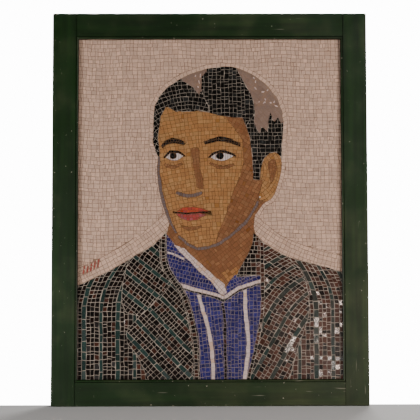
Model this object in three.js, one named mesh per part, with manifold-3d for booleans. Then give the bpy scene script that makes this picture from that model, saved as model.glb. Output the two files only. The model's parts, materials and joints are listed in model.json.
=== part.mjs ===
// A portrait mosaic of small glass tesserae on a mortared board, in a painted timber frame.
// Millimetres, +Z up. The picture faces -Y, and the frame's back lies in the plane y = 0 against the wall.
// The origin is the middle of the top rail's back face, where the panel is fixed.
import * as THREE from "three";
import { mergeGeometries, mergeVertices } from "three/addons/utils/BufferGeometryUtils.js";
import Module from "manifold-3d";

const wasm = await Module();
wasm.setup();

// Frame
const PANEL_WIDTH = 804;
const PANEL_HEIGHT = 1000;
const FLAT_WIDTH = 60; // face of a member, up to the quirk
const QUIRK_WIDTH = 1.2; // groove between the flat and the bead
const QUIRK_DEPTH = 1.6;
const BEAD_WIDTH = 5.2; // rounded sight edge
const BEAD_DROP = 4.2; // how far the bead falls towards the picture
const LIP_THICKNESS = 9; // sight edge, front face to rebate
const ARRIS_RADIUS = 2.2; // rounding of the front's outer edge
const CORNER_RADIUS = 4; // rounding of the outer corners

// Panel, from the wall side to the picture
const BOARD_RECESS = 3; // from the frame's back to the board's
const BOARD_THICKNESS = 12;
const BED_THICKNESS = 3;
const TESSERA_THICKNESS = 4;
const PANEL_CLEARANCE = 1; // all round, in the rebate
const TOUCH_GAP = 0.3; // between pieces that lie on each other

// Mosaic
const CLOTH_COURSE = 10.7; // pitch of the rows of tesserae
const HAIR_COURSE = 10.4;
const GROUND_COURSE = 10;
const CLOTH_JOINT = 2.2; // open joint between rows
const HAIR_JOINT = 1.8;
const GROUND_JOINT = 1.2;
const FIELD_JOINT = 1.3; // between areas of different colours
const JOINT_DEPTH = 1.2;
const HEAD_HALO_COURSES = 1; // rows of the ground that follow the head
const SHOULDER_HALO_COURSES = 4; // and the shoulders
const COURSE_WANDER = 0.07; // share of the pitch by which hand-laid rows wander
const WANDER_PERIOD = 2.6; // rows from one crest of that wander to the next

// Figure: its outlines are shares of the head's height, from the point below the head's middle at chin level
const HEAD_SHARE = 0.5397; // head's height, of the picture's
const CHIN_SHARE = 0.3828; // height of the chin above the picture's foot, of the picture's height
const OFFSET_SHARE = 0.0343; // head's middle right of the picture's, of the picture's width
const OUTLINE_STEP = 30; // longest chord of a large curved outline
const EAR_STEP = 17; // the same on the ear
const FEATURE_STEP = 11; // and on eyes, lips and other small shapes

// Worked out
const STICKING_WIDTH = QUIRK_WIDTH + BEAD_WIDTH;
const MEMBER_WIDTH = FLAT_WIDTH + STICKING_WIDTH;
const TOP_Z = FLAT_WIDTH / 2;
const BOTTOM_Z = TOP_Z - PANEL_HEIGHT;
const MIDDLE_Z = (TOP_Z + BOTTOM_Z) / 2;
const PICTURE_WIDTH = PANEL_WIDTH - 2 * MEMBER_WIDTH;
const PICTURE_HEIGHT = PANEL_HEIGHT - 2 * MEMBER_WIDTH;
const HEAD_HEIGHT = HEAD_SHARE * PICTURE_HEIGHT;
const HEAD_OFFSET = OFFSET_SHARE * PICTURE_WIDTH;
const CHIN_HEIGHT = CHIN_SHARE * PICTURE_HEIGHT;
const INSERT_WIDTH = PANEL_WIDTH - 2 * (FLAT_WIDTH + PANEL_CLEARANCE);
const INSERT_HEIGHT = PANEL_HEIGHT - 2 * (FLAT_WIDTH + PANEL_CLEARANCE);
const BOARD_FRONT = BOARD_RECESS + BOARD_THICKNESS;
const BED_BACK = BOARD_FRONT + TOUCH_GAP;
const BED_FRONT = BED_BACK + BED_THICKNESS;
const TESSERA_BACK = BED_FRONT + TOUCH_GAP;
const FACE_DEPTH = TESSERA_BACK + TESSERA_THICKNESS; // height of the tesserae's faces above the wall
const REBATE_DEPTH = FACE_DEPTH + TOUCH_GAP;
const FRAME_DEPTH = REBATE_DEPTH + LIP_THICKNESS;
const BEAD_CHORDS = 5;
const CIRCLE_CHORDS = 36; // of a whole circle of rows
const BEYOND = 4; // how far a cutting solid passes what it cuts
const SPAN = PANEL_WIDTH + PANEL_HEIGHT; // longer than any row

const timberGreen = new THREE.MeshStandardMaterial({ color: 0x24331f, roughness: 0.55 });
const boardBrown = new THREE.MeshStandardMaterial({ color: 0x9c7a52, roughness: 0.85 });
const mortarGrey = new THREE.MeshStandardMaterial({ color: 0x8f7a6c, roughness: 0.95 });
const glassColours = {
  ground: 0xb4988a,
  hair: 0x12110e,
  highlight: 0x7c6a60,
  skin: 0x94683c,
  shade: 0x754a2a,
  contour: 0x675b59,
  eye_white: 0xc6b9b4,
  lip_upper: 0xa23c1c,
  lip_lower: 0x932a2a,
  shirt: 0x2b2d76,
  shirt_white: 0xa99c9e,
  cloth: 0x1c1613,
};
const glass = Object.fromEntries(
  Object.entries(glassColours).map(([finish, color]) => [
    finish,
    new THREE.MeshStandardMaterial({ color, roughness: 0.3 }),
  ]),
);

// Solids

function solidOf(geometry) {
  const bare = geometry.clone();
  bare.deleteAttribute("normal");
  bare.deleteAttribute("uv");
  const merged = mergeVertices(bare, 1e-4);
  return new wasm.Manifold(
    new wasm.Mesh({
      numProp: 3,
      vertProperties: merged.attributes.position.array,
      triVerts: new Uint32Array(merged.index.array),
    }),
  );
}

function geometryOf(solid) {
  const { numProp, vertProperties, triVerts } = solid.getMesh();
  const points = new Float32Array((vertProperties.length / numProp) * 3);
  for (let i = 0; i < points.length / 3; i++) {
    points.set(vertProperties.subarray(i * numProp, i * numProp + 3), i * 3);
  }
  const geometry = new THREE.BufferGeometry();
  geometry.setAttribute("position", new THREE.BufferAttribute(points, 3));
  geometry.setIndex(new THREE.BufferAttribute(triVerts, 1));
  geometry.computeVertexNormals();
  return geometry;
}

// An outline in the picture's plane as a plate, from one height above the wall to another.
function plateGeometry(points, back, front) {
  const geometry = new THREE.ExtrudeGeometry(new THREE.Shape(points), {
    depth: front - back,
    bevelEnabled: false,
  });
  return geometry.translate(0, 0, back).rotateX(Math.PI / 2);
}

const plate = (points, back, front) => solidOf(plateGeometry(points, back, front));

function meshOf(name, geometry, material) {
  const mesh = new THREE.Mesh(geometry, material);
  mesh.name = name;
  return mesh;
}

// Outlines, as lists of points that run anticlockwise

function anticlockwise(points) {
  return THREE.ShapeUtils.area(points) < 0 ? points.reverse() : points;
}

function rectangle(width, height, middleX = 0, middleZ = MIDDLE_Z) {
  const [x, z] = [width / 2, height / 2];
  return [[-x, -z], [x, -z], [x, z], [-x, z]].map(
    ([dx, dz]) => new THREE.Vector2(middleX + dx, middleZ + dz),
  );
}

// A point of the figure, given as shares of the head's height.
const figurePoint = ([u, v]) =>
  new THREE.Vector2(
    HEAD_OFFSET + u * HEAD_HEIGHT,
    BOTTOM_Z + MEMBER_WIDTH + CHIN_HEIGHT + v * HEAD_HEIGHT,
  );

function alongSpline(points, step) {
  if (points.length === 2) return points;
  const curve = new THREE.SplineCurve(points);
  return curve.getSpacedPoints(Math.max(2, Math.ceil(curve.getLength() / step)));
}

// Stretches that are smooth in themselves and meet at corners: two points make a straight one.
function outline(stretches, step = OUTLINE_STEP) {
  const points = stretches.flatMap((stretch, i) => {
    const next = stretches[(i + 1) % stretches.length][0];
    return alongSpline([...stretch, next].map(figurePoint), step).slice(0, -1);
  });
  return anticlockwise(points);
}

// A closed outline that is smooth all round.
function loop(points, step = OUTLINE_STEP) {
  const flat = points.map(figurePoint);
  const curve = new THREE.CatmullRomCurve3(
    flat.map(({ x, y }) => new THREE.Vector3(x, y, 0)),
    true,
  );
  const count = Math.ceil(curve.getLength() / step);
  const spaced = curve.getSpacedPoints(count).slice(0, -1);
  return anticlockwise(spaced.map(({ x, y }) => new THREE.Vector2(x, y)));
}

function sideways(points, i) {
  const before = points[Math.max(i - 1, 0)];
  const after = points[Math.min(i + 1, points.length - 1)];
  const along = after.clone().sub(before).normalize();
  return new THREE.Vector2(-along.y, along.x);
}

// A stroke along a line, as wide as its middle says and narrowed to a share of that at its ends.
function stroke(line, width, ends = 1, step = OUTLINE_STEP) {
  const middle = alongSpline(line.map(figurePoint), step);
  const side = (sign) =>
    middle.map((point, i) => {
      const t = i / (middle.length - 1);
      const half = (width / 2) * (ends + (1 - ends) * Math.sin(Math.PI * t));
      return point.clone().addScaledVector(sideways(middle, i), sign * half);
    });
  return anticlockwise([...side(1), ...side(-1).reverse()]);
}

function disc([u, v], radius, sides = 12) {
  const middle = figurePoint([u, v]);
  return Array.from({ length: sides }, (_, i) => {
    const turn = (i / sides) * 2 * Math.PI;
    return new THREE.Vector2(radius * Math.cos(turn), radius * Math.sin(turn)).add(middle);
  });
}

// The outline moved outwards by a distance, or inwards if it is negative.
function grow(points, distance) {
  const sharpest = 0.5; // a mitre runs out no further than twice the distance
  return points.map((point, i) => {
    const before = points[(i + points.length - 1) % points.length];
    const after = points[(i + 1) % points.length];
    const [a, b] = [point.clone().sub(before).normalize(), after.clone().sub(point).normalize()];
    const out = new THREE.Vector2(a.y + b.y, -a.x - b.x).normalize();
    const spread = Math.max(sharpest, out.x * a.y - out.y * a.x);
    return point.clone().addScaledVector(out, distance / spread);
  });
}

// Frame

// The section of a member, across it from its outer edge and up from the wall.
function memberSection() {
  const bead = new THREE.Path();
  const beadStart = FLAT_WIDTH + QUIRK_WIDTH;
  bead.moveTo(beadStart, FRAME_DEPTH - QUIRK_DEPTH / 3);
  bead.quadraticCurveTo(
    MEMBER_WIDTH, FRAME_DEPTH,
    MEMBER_WIDTH, FRAME_DEPTH - BEAD_DROP,
  );
  return [
    new THREE.Vector2(0, 0),
    new THREE.Vector2(FLAT_WIDTH, 0),
    new THREE.Vector2(FLAT_WIDTH, REBATE_DEPTH),
    new THREE.Vector2(MEMBER_WIDTH, REBATE_DEPTH),
    ...bead.getPoints(BEAD_CHORDS).reverse(),
    new THREE.Vector2(beadStart, FRAME_DEPTH - QUIRK_DEPTH),
    new THREE.Vector2(FLAT_WIDTH, FRAME_DEPTH - QUIRK_DEPTH),
    new THREE.Vector2(FLAT_WIDTH, FRAME_DEPTH),
    new THREE.Vector2(0, FRAME_DEPTH),
  ];
}

// The whole frame's outside, rounded at the corners and along the front's edge.
function roundedBlock() {
  const [x, z] = [PANEL_WIDTH / 2 - ARRIS_RADIUS, PANEL_HEIGHT / 2 - ARRIS_RADIUS];
  const r = CORNER_RADIUS - ARRIS_RADIUS;
  const shape = new THREE.Shape();
  shape.moveTo(-x + r, -z);
  shape.lineTo(x - r, -z).absarc(x - r, -z + r, r, -Math.PI / 2, 0);
  shape.lineTo(x, z - r).absarc(x - r, z - r, r, 0, Math.PI / 2);
  shape.lineTo(-x + r, z).absarc(-x + r, z - r, r, Math.PI / 2, Math.PI);
  shape.lineTo(-x, -z + r).absarc(-x + r, -z + r, r, Math.PI, Math.PI * 1.5);
  const geometry = new THREE.ExtrudeGeometry(shape, {
    depth: FRAME_DEPTH + BEYOND - ARRIS_RADIUS,
    bevelThickness: ARRIS_RADIUS,
    bevelSize: ARRIS_RADIUS,
    bevelSegments: 2,
    curveSegments: 3,
  });
  return solidOf(geometry.translate(0, 0, -BEYOND).rotateX(Math.PI / 2).translate(0, 0, MIDDLE_Z));
}

// A member lying along X with its outer edge at z = 0, its face up and its bead mitred at both ends.
// The flat ends square at the given half length; a stile's flat runs on past the mitre by overrun.
function memberSolid(halfLength, overrun) {
  const section = new THREE.ExtrudeGeometry(new THREE.Shape(memberSection()), {
    depth: 2 * (halfLength + overrun),
    bevelEnabled: false,
  });
  // Section across becomes -Z, section up becomes -Y, and the extrusion runs along X.
  section.translate(0, 0, -halfLength - overrun);
  section.applyMatrix4(
    new THREE.Matrix4().makeBasis(
      new THREE.Vector3(0, 0, -1),
      new THREE.Vector3(0, -1, 0),
      new THREE.Vector3(-1, 0, 0),
    ),
  );
  const mitre = (side) => {
    const corners = [
      [halfLength - TOUCH_GAP / 2, -FLAT_WIDTH],
      [halfLength - STICKING_WIDTH - TOUCH_GAP / 2, -MEMBER_WIDTH],
      [halfLength - STICKING_WIDTH - TOUCH_GAP / 2, -MEMBER_WIDTH - BEYOND],
      [halfLength + overrun + BEYOND, -MEMBER_WIDTH - BEYOND],
      [halfLength + overrun + BEYOND, -FLAT_WIDTH],
    ];
    return plate(
      anticlockwise(corners.map(([x, z]) => new THREE.Vector2(side * x, z))),
      -BEYOND,
      FRAME_DEPTH + BEYOND,
    );
  };
  return solidOf(section).subtract(mitre(1)).subtract(mitre(-1));
}

function frameMembers() {
  const block = roundedBlock();
  const flatHalfWidth = PANEL_WIDTH / 2 - FLAT_WIDTH;
  const flatHalfHeight = PANEL_HEIGHT / 2 - FLAT_WIDTH;
  const rail = memberSolid(flatHalfWidth - TOUCH_GAP, 0);
  const stile = memberSolid(flatHalfHeight, FLAT_WIDTH);
  const places = {
    frame_top_rail: rail.translate([0, 0, TOP_Z]),
    frame_bottom_rail: rail.rotate([0, 180, 0]).translate([0, 0, BOTTOM_Z]),
    frame_left_stile: stile.rotate([0, -90, 0]).translate([-PANEL_WIDTH / 2, 0, MIDDLE_Z]),
    frame_right_stile: stile.rotate([0, 90, 0]).translate([PANEL_WIDTH / 2, 0, MIDDLE_Z]),
  };
  return Object.entries(places).map(([name, solid]) =>
    meshOf(name, geometryOf(solid.intersect(block)), timberGreen),
  );
}

// Rows of tesserae
// place(s, t) is the point at length s along the row that lies t across.
// stops are the lengths at which the rows bend.

const direction = (degrees) => {
  const turn = THREE.MathUtils.degToRad(degrees);
  return new THREE.Vector2(Math.cos(turn), Math.sin(turn));
};

// Straight rows, at an angle from level.
function straightRows(degrees, pitch) {
  const along = direction(degrees);
  const across = direction(degrees + 90);
  return {
    pitch,
    stops: [-SPAN, SPAN],
    place: (s, t) => figurePoint([0, 0]).addScaledVector(along, s).addScaledVector(across, t),
  };
}

// Rows that run straight up to a foot and bow sideways beyond it, by a lean at the end of the rise.
function bowedRows(degrees, pitch, { foot, rise, lean }) {
  const straight = straightRows(degrees, pitch);
  const [start, reach] = [foot * HEAD_HEIGHT, rise * HEAD_HEIGHT];
  return {
    pitch,
    stops: [-SPAN, ...[0, 0.5, 1, 1.5].map((share) => start + share * reach)],
    place: (s, t) => {
      const above = Math.max(0, s - start) / reach;
      return straight.place(s, t + lean * HEAD_HEIGHT * above * above);
    },
  };
}

// Rows on circles about a point of the figure, which start on the side away from a field.
function archedRows(hub, pitch, start) {
  return {
    pitch,
    innermost: 0,
    stops: Array.from({ length: CIRCLE_CHORDS }, (_, i) => start + (360 * i) / CIRCLE_CHORDS),
    place: (s, t) => figurePoint(hub).addScaledVector(direction(s), t),
  };
}

// The open joints between the rows of a field, as one solid of separate strips.
function jointStrips(points, rows, joint) {
  const picture = new THREE.Box2().setFromPoints(rectangle(INSERT_WIDTH, INSERT_HEIGHT));
  const box = new THREE.Box2().setFromPoints(points).intersect(picture);
  const count = Math.ceil(SPAN / rows.pitch);
  const strips = [];
  for (let k = rows.innermost ?? -count; k <= count; k++) {
    const t = rows.pitch * (k + 0.5 + COURSE_WANDER * Math.sin((2 * Math.PI * k) / WANDER_PERIOD));
    const edge = (offset) => rows.stops.map((s) => rows.place(s, t + offset));
    const middle = edge(0);
    const crosses = middle.some((a, i) => i > 0 && crossesBox(middle[i - 1], a, box));
    if (!crosses) continue;
    const strip = anticlockwise([...edge(joint / 2), ...edge(-joint / 2).reverse()]);
    strips.push(plateGeometry(strip, FACE_DEPTH - JOINT_DEPTH, FACE_DEPTH + BEYOND));
  }
  return solidOf(mergeGeometries(strips));
}

// Whether a straight line passes through a box.
function crossesBox(a, b, box) {
  const [from, to] = [a, b].map(({ x, y }) => new THREE.Vector3(x, y, 0));
  const [low, high] = [box.min, box.max].map(({ x, y }, i) => new THREE.Vector3(x, y, 2 * i - 1));
  const ray = new THREE.Ray(from, to.clone().sub(from).normalize());
  const hit = ray.intersectBox(new THREE.Box3(low, high), new THREE.Vector3());
  return hit !== null && hit.distanceTo(from) <= from.distanceTo(to);
}

// Figure

// Where rows begin to bow, over what length and how far, as shares of the head's height.
const LEFT_SLEEVE_BOW = { foot: -0.34, rise: 0.3, lean: -0.14 };
const RIGHT_SLEEVE_BOW = { foot: -0.34, rise: 0.3, lean: 0.12 };
const RIGHT_LAPEL_BOW = { foot: -0.15, rise: 0.29, lean: -0.1 };

const skull = loop([
  [-0.35, 0.53], [-0.358, 0.64], [-0.35, 0.773], [-0.312, 0.85], [-0.22, 0.92], [-0.108, 0.97],
  [0.023, 0.995], [0.11, 0.982], [0.209, 0.932], [0.302, 0.848], [0.353, 0.717], [0.347, 0.586],
  [0.33, 0.43], [0.2, 0.3], [-0.25, 0.42],
]);

const faceOutline = outline([
  [[-0.318, 0.72], [-0.332, 0.6], [-0.322, 0.515], [-0.328, 0.42], [-0.308, 0.29], [-0.272, 0.17],
    [-0.225, 0.075], [-0.165, 0.016], [-0.09, 0], [0, 0.03], [0.09, 0.09], [0.165, 0.17], [0.216, 0.27]],
  [[0.237, 0.37]],
  [[0.188, 0.37], [0.182, 0.5], [0.165, 0.62]],
  [[0.13, 0.712], [0.02, 0.722], [-0.1, 0.75], [-0.2, 0.742], [-0.25, 0.752]],
  [[-0.287, 0.775]],
]);

const earOutline = loop([
  [0.222, 0.36], [0.236, 0.46], [0.27, 0.512], [0.312, 0.522], [0.34, 0.49], [0.34, 0.42],
  [0.32, 0.34], [0.29, 0.272], [0.255, 0.25], [0.215, 0.27],
], EAR_STEP);

const neckOutline = outline([
  [[-0.262, 0.16]],
  [[-0.286, 0.07]],
  [[-0.247, 0.01], [-0.12, -0.1]],
  [[0.044, -0.238], [0.128, -0.13], [0.18, -0.03], [0.198, 0.055]],
  [[0.188, 0.12], [0.205, 0.2], [0.25, 0.28]],
]);

const leftShoulder = [
  [-0.9, -0.262], [-0.759, -0.2], [-0.685, -0.168], [-0.5545, -0.1025], [-0.4335, -0.028],
  [-0.359, 0.012],
];
const rightShoulder = [
  [0.255, 0.019], [0.339, -0.033], [0.423, -0.065], [0.5535, -0.098], [0.665, -0.131], [0.9, -0.2],
];
const shirtLeftEdge = [
  [-0.284, 0.02], [-0.282, -0.065], [-0.257, -0.131], [-0.182, -0.233], [-0.136, -0.374],
  [-0.112, -0.505], [-0.103, -0.705],
];
const shirtRightEdge = [
  [0.148, -0.705], [0.181, -0.579], [0.209, -0.448], [0.2275, -0.3175], [0.226, -0.2],
];

const leftJacket = outline([
  [...leftShoulder],
  [[-0.288, 0.088]],
  [...shirtLeftEdge],
  [[-0.1, -1.4]],
  [[-1.2, -1.4]],
  [[-1.2, -0.4]],
]);

const rightJacket = outline([
  [[0.187, 0.078]],
  [...rightShoulder],
  [[1.2, -0.3]],
  [[1.2, -1.4]],
  [[0.12, -1.4]],
  [...shirtRightEdge],
  [[0.223, -0.15]],
  [[0.092, -0.158]],
  [[0.108, -0.12], [0.162, -0.028], [0.184, 0.03]],
]);

const head = [skull, faceOutline, earOutline, neckOutline];

const shirtOutline = outline([
  [[-0.286, 0.05]],
  [[-0.3, -0.1], [-0.22, -0.25], [-0.16, -0.4], [-0.14, -0.8]],
  [[-0.14, -1.4]],
  [[0.2, -1.4]],
  [[0.2, -0.8], [0.26, -0.4], [0.26, -0.1]],
  [[0.08, -0.13]],
]);

const feature = (stretches) => outline(stretches, FEATURE_STEP);
const almond = ([u, v], width, height) =>
  feature([
    [
      [u - width / 2, v - height * 0.1], [u - width * 0.2, v + height * 0.45],
      [u + width * 0.18, v + height * 0.42],
    ],
    [
      [u + width / 2, v + height * 0.05], [u + width * 0.2, v - height * 0.45],
      [u - width * 0.2, v - height * 0.5],
    ],
  ]);

// Proportions of the face: eyes halfway up the head, brows, nose and chin a third of the face apart.
const EYE_LINE = 0.5;
const BROW_LINE = 0.573;
const NOSE_LINE = 0.287;
const MOUTH_LINE = 0.191;
const FAR_EYE = [-0.243, EYE_LINE];
const NEAR_EYE = [0.018, EYE_LINE];
const FAR_EYE_WIDTH = 0.1;
const NEAR_EYE_WIDTH = 0.13;
const EYE_HEIGHT = 0.046;
const IRIS_RADIUS = 9.5;
const LID_WIDTH = 6;
const BROW_WIDTH = 13;
const LIP_LINE_WIDTH = 4.2;
const NOSE_BASE_WIDTH = 9;
const CONTOUR_WIDTH = 8;
const EDGE_WIDTH = 17;
const COLLAR_EDGE_WIDTH = 9;
const FOLD_WIDTH = 8.5;
const STRIPE_WIDTH = 9.5;
const PLACKET_WIDTH = 7;

const lidAbove = ([u, v], width) => [
  [u - width * 0.55, v - EYE_HEIGHT * 0.15], [u - width * 0.2, v + EYE_HEIGHT * 0.55],
  [u + width * 0.2, v + EYE_HEIGHT * 0.52], [u + width * 0.58, v],
];
const fine = (line, width, ends = 1) => stroke(line, width, ends, FEATURE_STEP);

// Every area of one colour, the uppermost first: each cuts its room out of those below it.
// Name, colour, outline, rows to cut and a larger outline that bounds it.
const features = [
  ["iris_far", "hair", disc([FAR_EYE[0] - 0.006, EYE_LINE + 0.003], IRIS_RADIUS * 0.9)],
  ["iris_near", "hair", disc([NEAR_EYE[0] - 0.012, EYE_LINE + 0.003], IRIS_RADIUS)],
  ["upper_lid_far", "hair", fine(lidAbove(FAR_EYE, FAR_EYE_WIDTH), LID_WIDTH, 0.7)],
  ["upper_lid_near", "hair", fine(lidAbove(NEAR_EYE, NEAR_EYE_WIDTH), LID_WIDTH, 0.7)],
  ["eye_far", "eye_white", almond(FAR_EYE, FAR_EYE_WIDTH, EYE_HEIGHT)],
  ["eye_near", "eye_white", almond(NEAR_EYE, NEAR_EYE_WIDTH, EYE_HEIGHT)],
  ["brow_far", "hair", fine([
    [-0.312, BROW_LINE - 0.02], [-0.262, BROW_LINE + 0.014], [-0.188, BROW_LINE],
  ], BROW_WIDTH, 0.6)],
  ["brow_near", "hair", fine([
    [-0.08, BROW_LINE], [0.02, BROW_LINE + 0.022], [0.118, BROW_LINE - 0.012],
  ], BROW_WIDTH, 0.6)],
  ["mouth_line", "hair", fine([
    [-0.25, MOUTH_LINE + 0.006], [-0.165, MOUTH_LINE - 0.002], [-0.045, MOUTH_LINE + 0.006],
  ], LIP_LINE_WIDTH, 0.8)],
  ["upper_lip", "lip_upper", feature([
    [[-0.243, 0.19], [-0.21, 0.214], [-0.178, 0.225]],
    [[-0.158, 0.218]],
    [[-0.136, 0.226], [-0.095, 0.216], [-0.052, 0.19]],
  ])],
  ["lower_lip", "lip_lower", feature([
    [[-0.236, 0.192]],
    [[-0.06, 0.192], [-0.1, 0.162], [-0.155, 0.147], [-0.208, 0.162]],
  ])],
  ["nose_base", "contour", fine([
    [-0.232, NOSE_LINE + 0.016], [-0.165, NOSE_LINE - 0.006], [-0.09, NOSE_LINE + 0.014],
  ], NOSE_BASE_WIDTH, 0.75)],
  ["nose_side", "shade", feature([
    [[-0.155, 0.545], [-0.14, 0.45], [-0.128, 0.38], [-0.118, 0.325]],
    [[-0.084, 0.322], [-0.088, 0.38], [-0.108, 0.45], [-0.105, 0.54]],
  ])],
  ["chin_shade", "shade", fine([
    [-0.205, 0.118], [-0.15, 0.104], [-0.095, 0.116],
  ], NOSE_BASE_WIDTH, 0.6)],
  ["far_cheek_contour", "contour", stroke([
    [-0.325, 0.5], [-0.331, 0.42], [-0.312, 0.29], [-0.276, 0.17], [-0.232, 0.08],
  ], CONTOUR_WIDTH, 0.7)],
  ["jaw_contour", "contour", stroke([
    [-0.22, 0.066], [-0.15, 0.004], [-0.07, -0.002], [0.01, 0.03], [0.1, 0.095], [0.17, 0.172],
    [0.214, 0.255],
  ], CONTOUR_WIDTH, 0.8)],
  ["near_cheek_shade", "shade", outline([
    [
      [0.028, 0.74], [0.06, 0.68], [0.125, 0.6], [0.135, 0.5], [0.12, 0.4], [0.075, 0.3],
      [0.045, 0.2], [-0.02, 0.03],
    ],
    [[-0.01, -0.1]],
    [[0.3, 0.1]],
    [[0.3, 0.78]],
  ]), null, faceOutline],
  ["far_eye_shade", "shade", fine([
    [-0.3, 0.455], [-0.25, 0.44], [-0.2, 0.462],
  ], NOSE_BASE_WIDTH, 0.5)],
  ["near_eye_shade", "shade", fine([
    [-0.05, 0.462], [0.02, 0.437], [0.085, 0.458],
  ], NOSE_BASE_WIDTH, 0.5)],
  ["face", "skin", faceOutline],
  ["ear_hollow", "shade", loop([
    [0.27, 0.455], [0.295, 0.486], [0.314, 0.455], [0.306, 0.39], [0.284, 0.345], [0.277, 0.4],
  ], FEATURE_STEP)],
  ["ear", "skin", earOutline],
];

const hair = [
  ["crown_highlight", "highlight", outline([
    [[0.09, 1.05]],
    [[0.102, 0.975], [0.153, 0.885], [0.19, 0.811], [0.2, 0.764], [0.195, 0.68]],
    [[0.222, 0.625]],
    [[0.232, 0.665]],
    [[0.265, 0.633]],
    [[0.281, 0.745]],
    [[0.302, 0.68]],
    [[0.325, 0.717]],
    [[0.34, 0.684]],
    [[0.45, 0.69]],
    [[0.45, 1.05]],
  ]), null, skull],
  ["front_highlight", "highlight", outline([
    [[-0.201, 0.918]],
    [[-0.14, 0.88]],
    [[-0.108, 0.84]],
    [[-0.094, 0.857]],
    [[-0.094, 0.937]],
    [[-0.066, 0.968]],
    [[-0.06, 1.05]],
    [[-0.2, 1.05]],
  ]), null, skull],
  ["side_hair", "hair", outline([
    [[0.17, 0.7], [0.2, 0.72]],
    [[0.24, 0.82]],
    [[0.5, 0.82]],
    [[0.5, 0.44]],
    [[0.31, 0.44], [0.26, 0.46], [0.243, 0.42], [0.24, 0.35]],
    [[0.1, 0.35]],
    [[0.1, 0.6]],
  ]), straightRows(0, HAIR_COURSE), skull],
  ["front_hair", "hair", outline([
    [[-0.5, 1.1]],
    [[-0.5, 0.4]],
    [[-0.3, 0.4]],
    [[-0.06, 0.7], [-0.055, 0.79], [-0.096, 0.86], [-0.13, 1.1]],
  ]), archedRows([-0.16, 0.46], HAIR_COURSE, -90), skull],
  ["top_hair", "hair", skull, straightRows(90, HAIR_COURSE)],
];

const jacket = [
  ["left_edge", "cloth", stroke([
    [-0.3, 0.12], [-0.303, 0], [-0.3, -0.07], [-0.274, -0.14], [-0.2, -0.24], [-0.154, -0.374],
    [-0.131, -0.505], [-0.122, -0.705], [-0.12, -1],
  ], EDGE_WIDTH), null, leftJacket],
  ["right_edge", "cloth", stroke([
    [0.234, 0.12], [0.235, -0.2], [0.235, -0.31], [0.218, -0.448], [0.189, -0.579], [0.154, -0.72],
    [0.12, -1],
  ], COLLAR_EDGE_WIDTH), null, rightJacket],
  ["left_collar", "cloth", outline([
    [[-0.28, 0.2]],
    [[-0.44, -0.02], [-0.498, -0.084], [-0.522, -0.196], [-0.53, -0.3]],
    [[-0.5, -0.348]],
    [[-0.429, -0.372]],
    [[-0.24, -0.17]],
    [[-0.25, -0.05]],
  ]), straightRows(-38, CLOTH_COURSE), leftJacket],
  ["left_lapel", "cloth", outline([
    [[-0.429, -0.372]],
    [[-0.24, -0.17]],
    [[-0.05, -0.3]],
    [[-0.05, -1.2]],
    [[-0.25, -1.2]],
    [[-0.36, -0.76], [-0.44, -0.59], [-0.51, -0.474]],
  ]), straightRows(-46, CLOTH_COURSE), leftJacket],
  ["right_collar", "cloth", outline([
    [[0.1, 0.15]],
    [[0.236, 0.15]],
    [[0.236, -0.2]],
    [[0, -0.2]],
  ]), straightRows(0, CLOTH_COURSE), rightJacket],
  ["right_lapel", "cloth", outline([
    [[0.22, 0.1]],
    [
      [0.3, 0.02], [0.38, -0.06], [0.45, -0.13], [0.484, -0.24], [0.482, -0.38], [0.424, -0.543],
      [0.37, -0.78],
    ],
    [[0.36, -1.2]],
    [[0, -1.2]],
  ]), bowedRows(60, CLOTH_COURSE, RIGHT_LAPEL_BOW), rightJacket],
  ["left_sleeve", "cloth", leftJacket, bowedRows(90, CLOTH_COURSE, LEFT_SLEEVE_BOW)],
  ["right_sleeve", "cloth", rightJacket, bowedRows(90, CLOTH_COURSE, RIGHT_SLEEVE_BOW)],
];

// Where the two edges of the shirt's collar meet.
const COLLAR_POINT = [0.024, -0.27];

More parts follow.
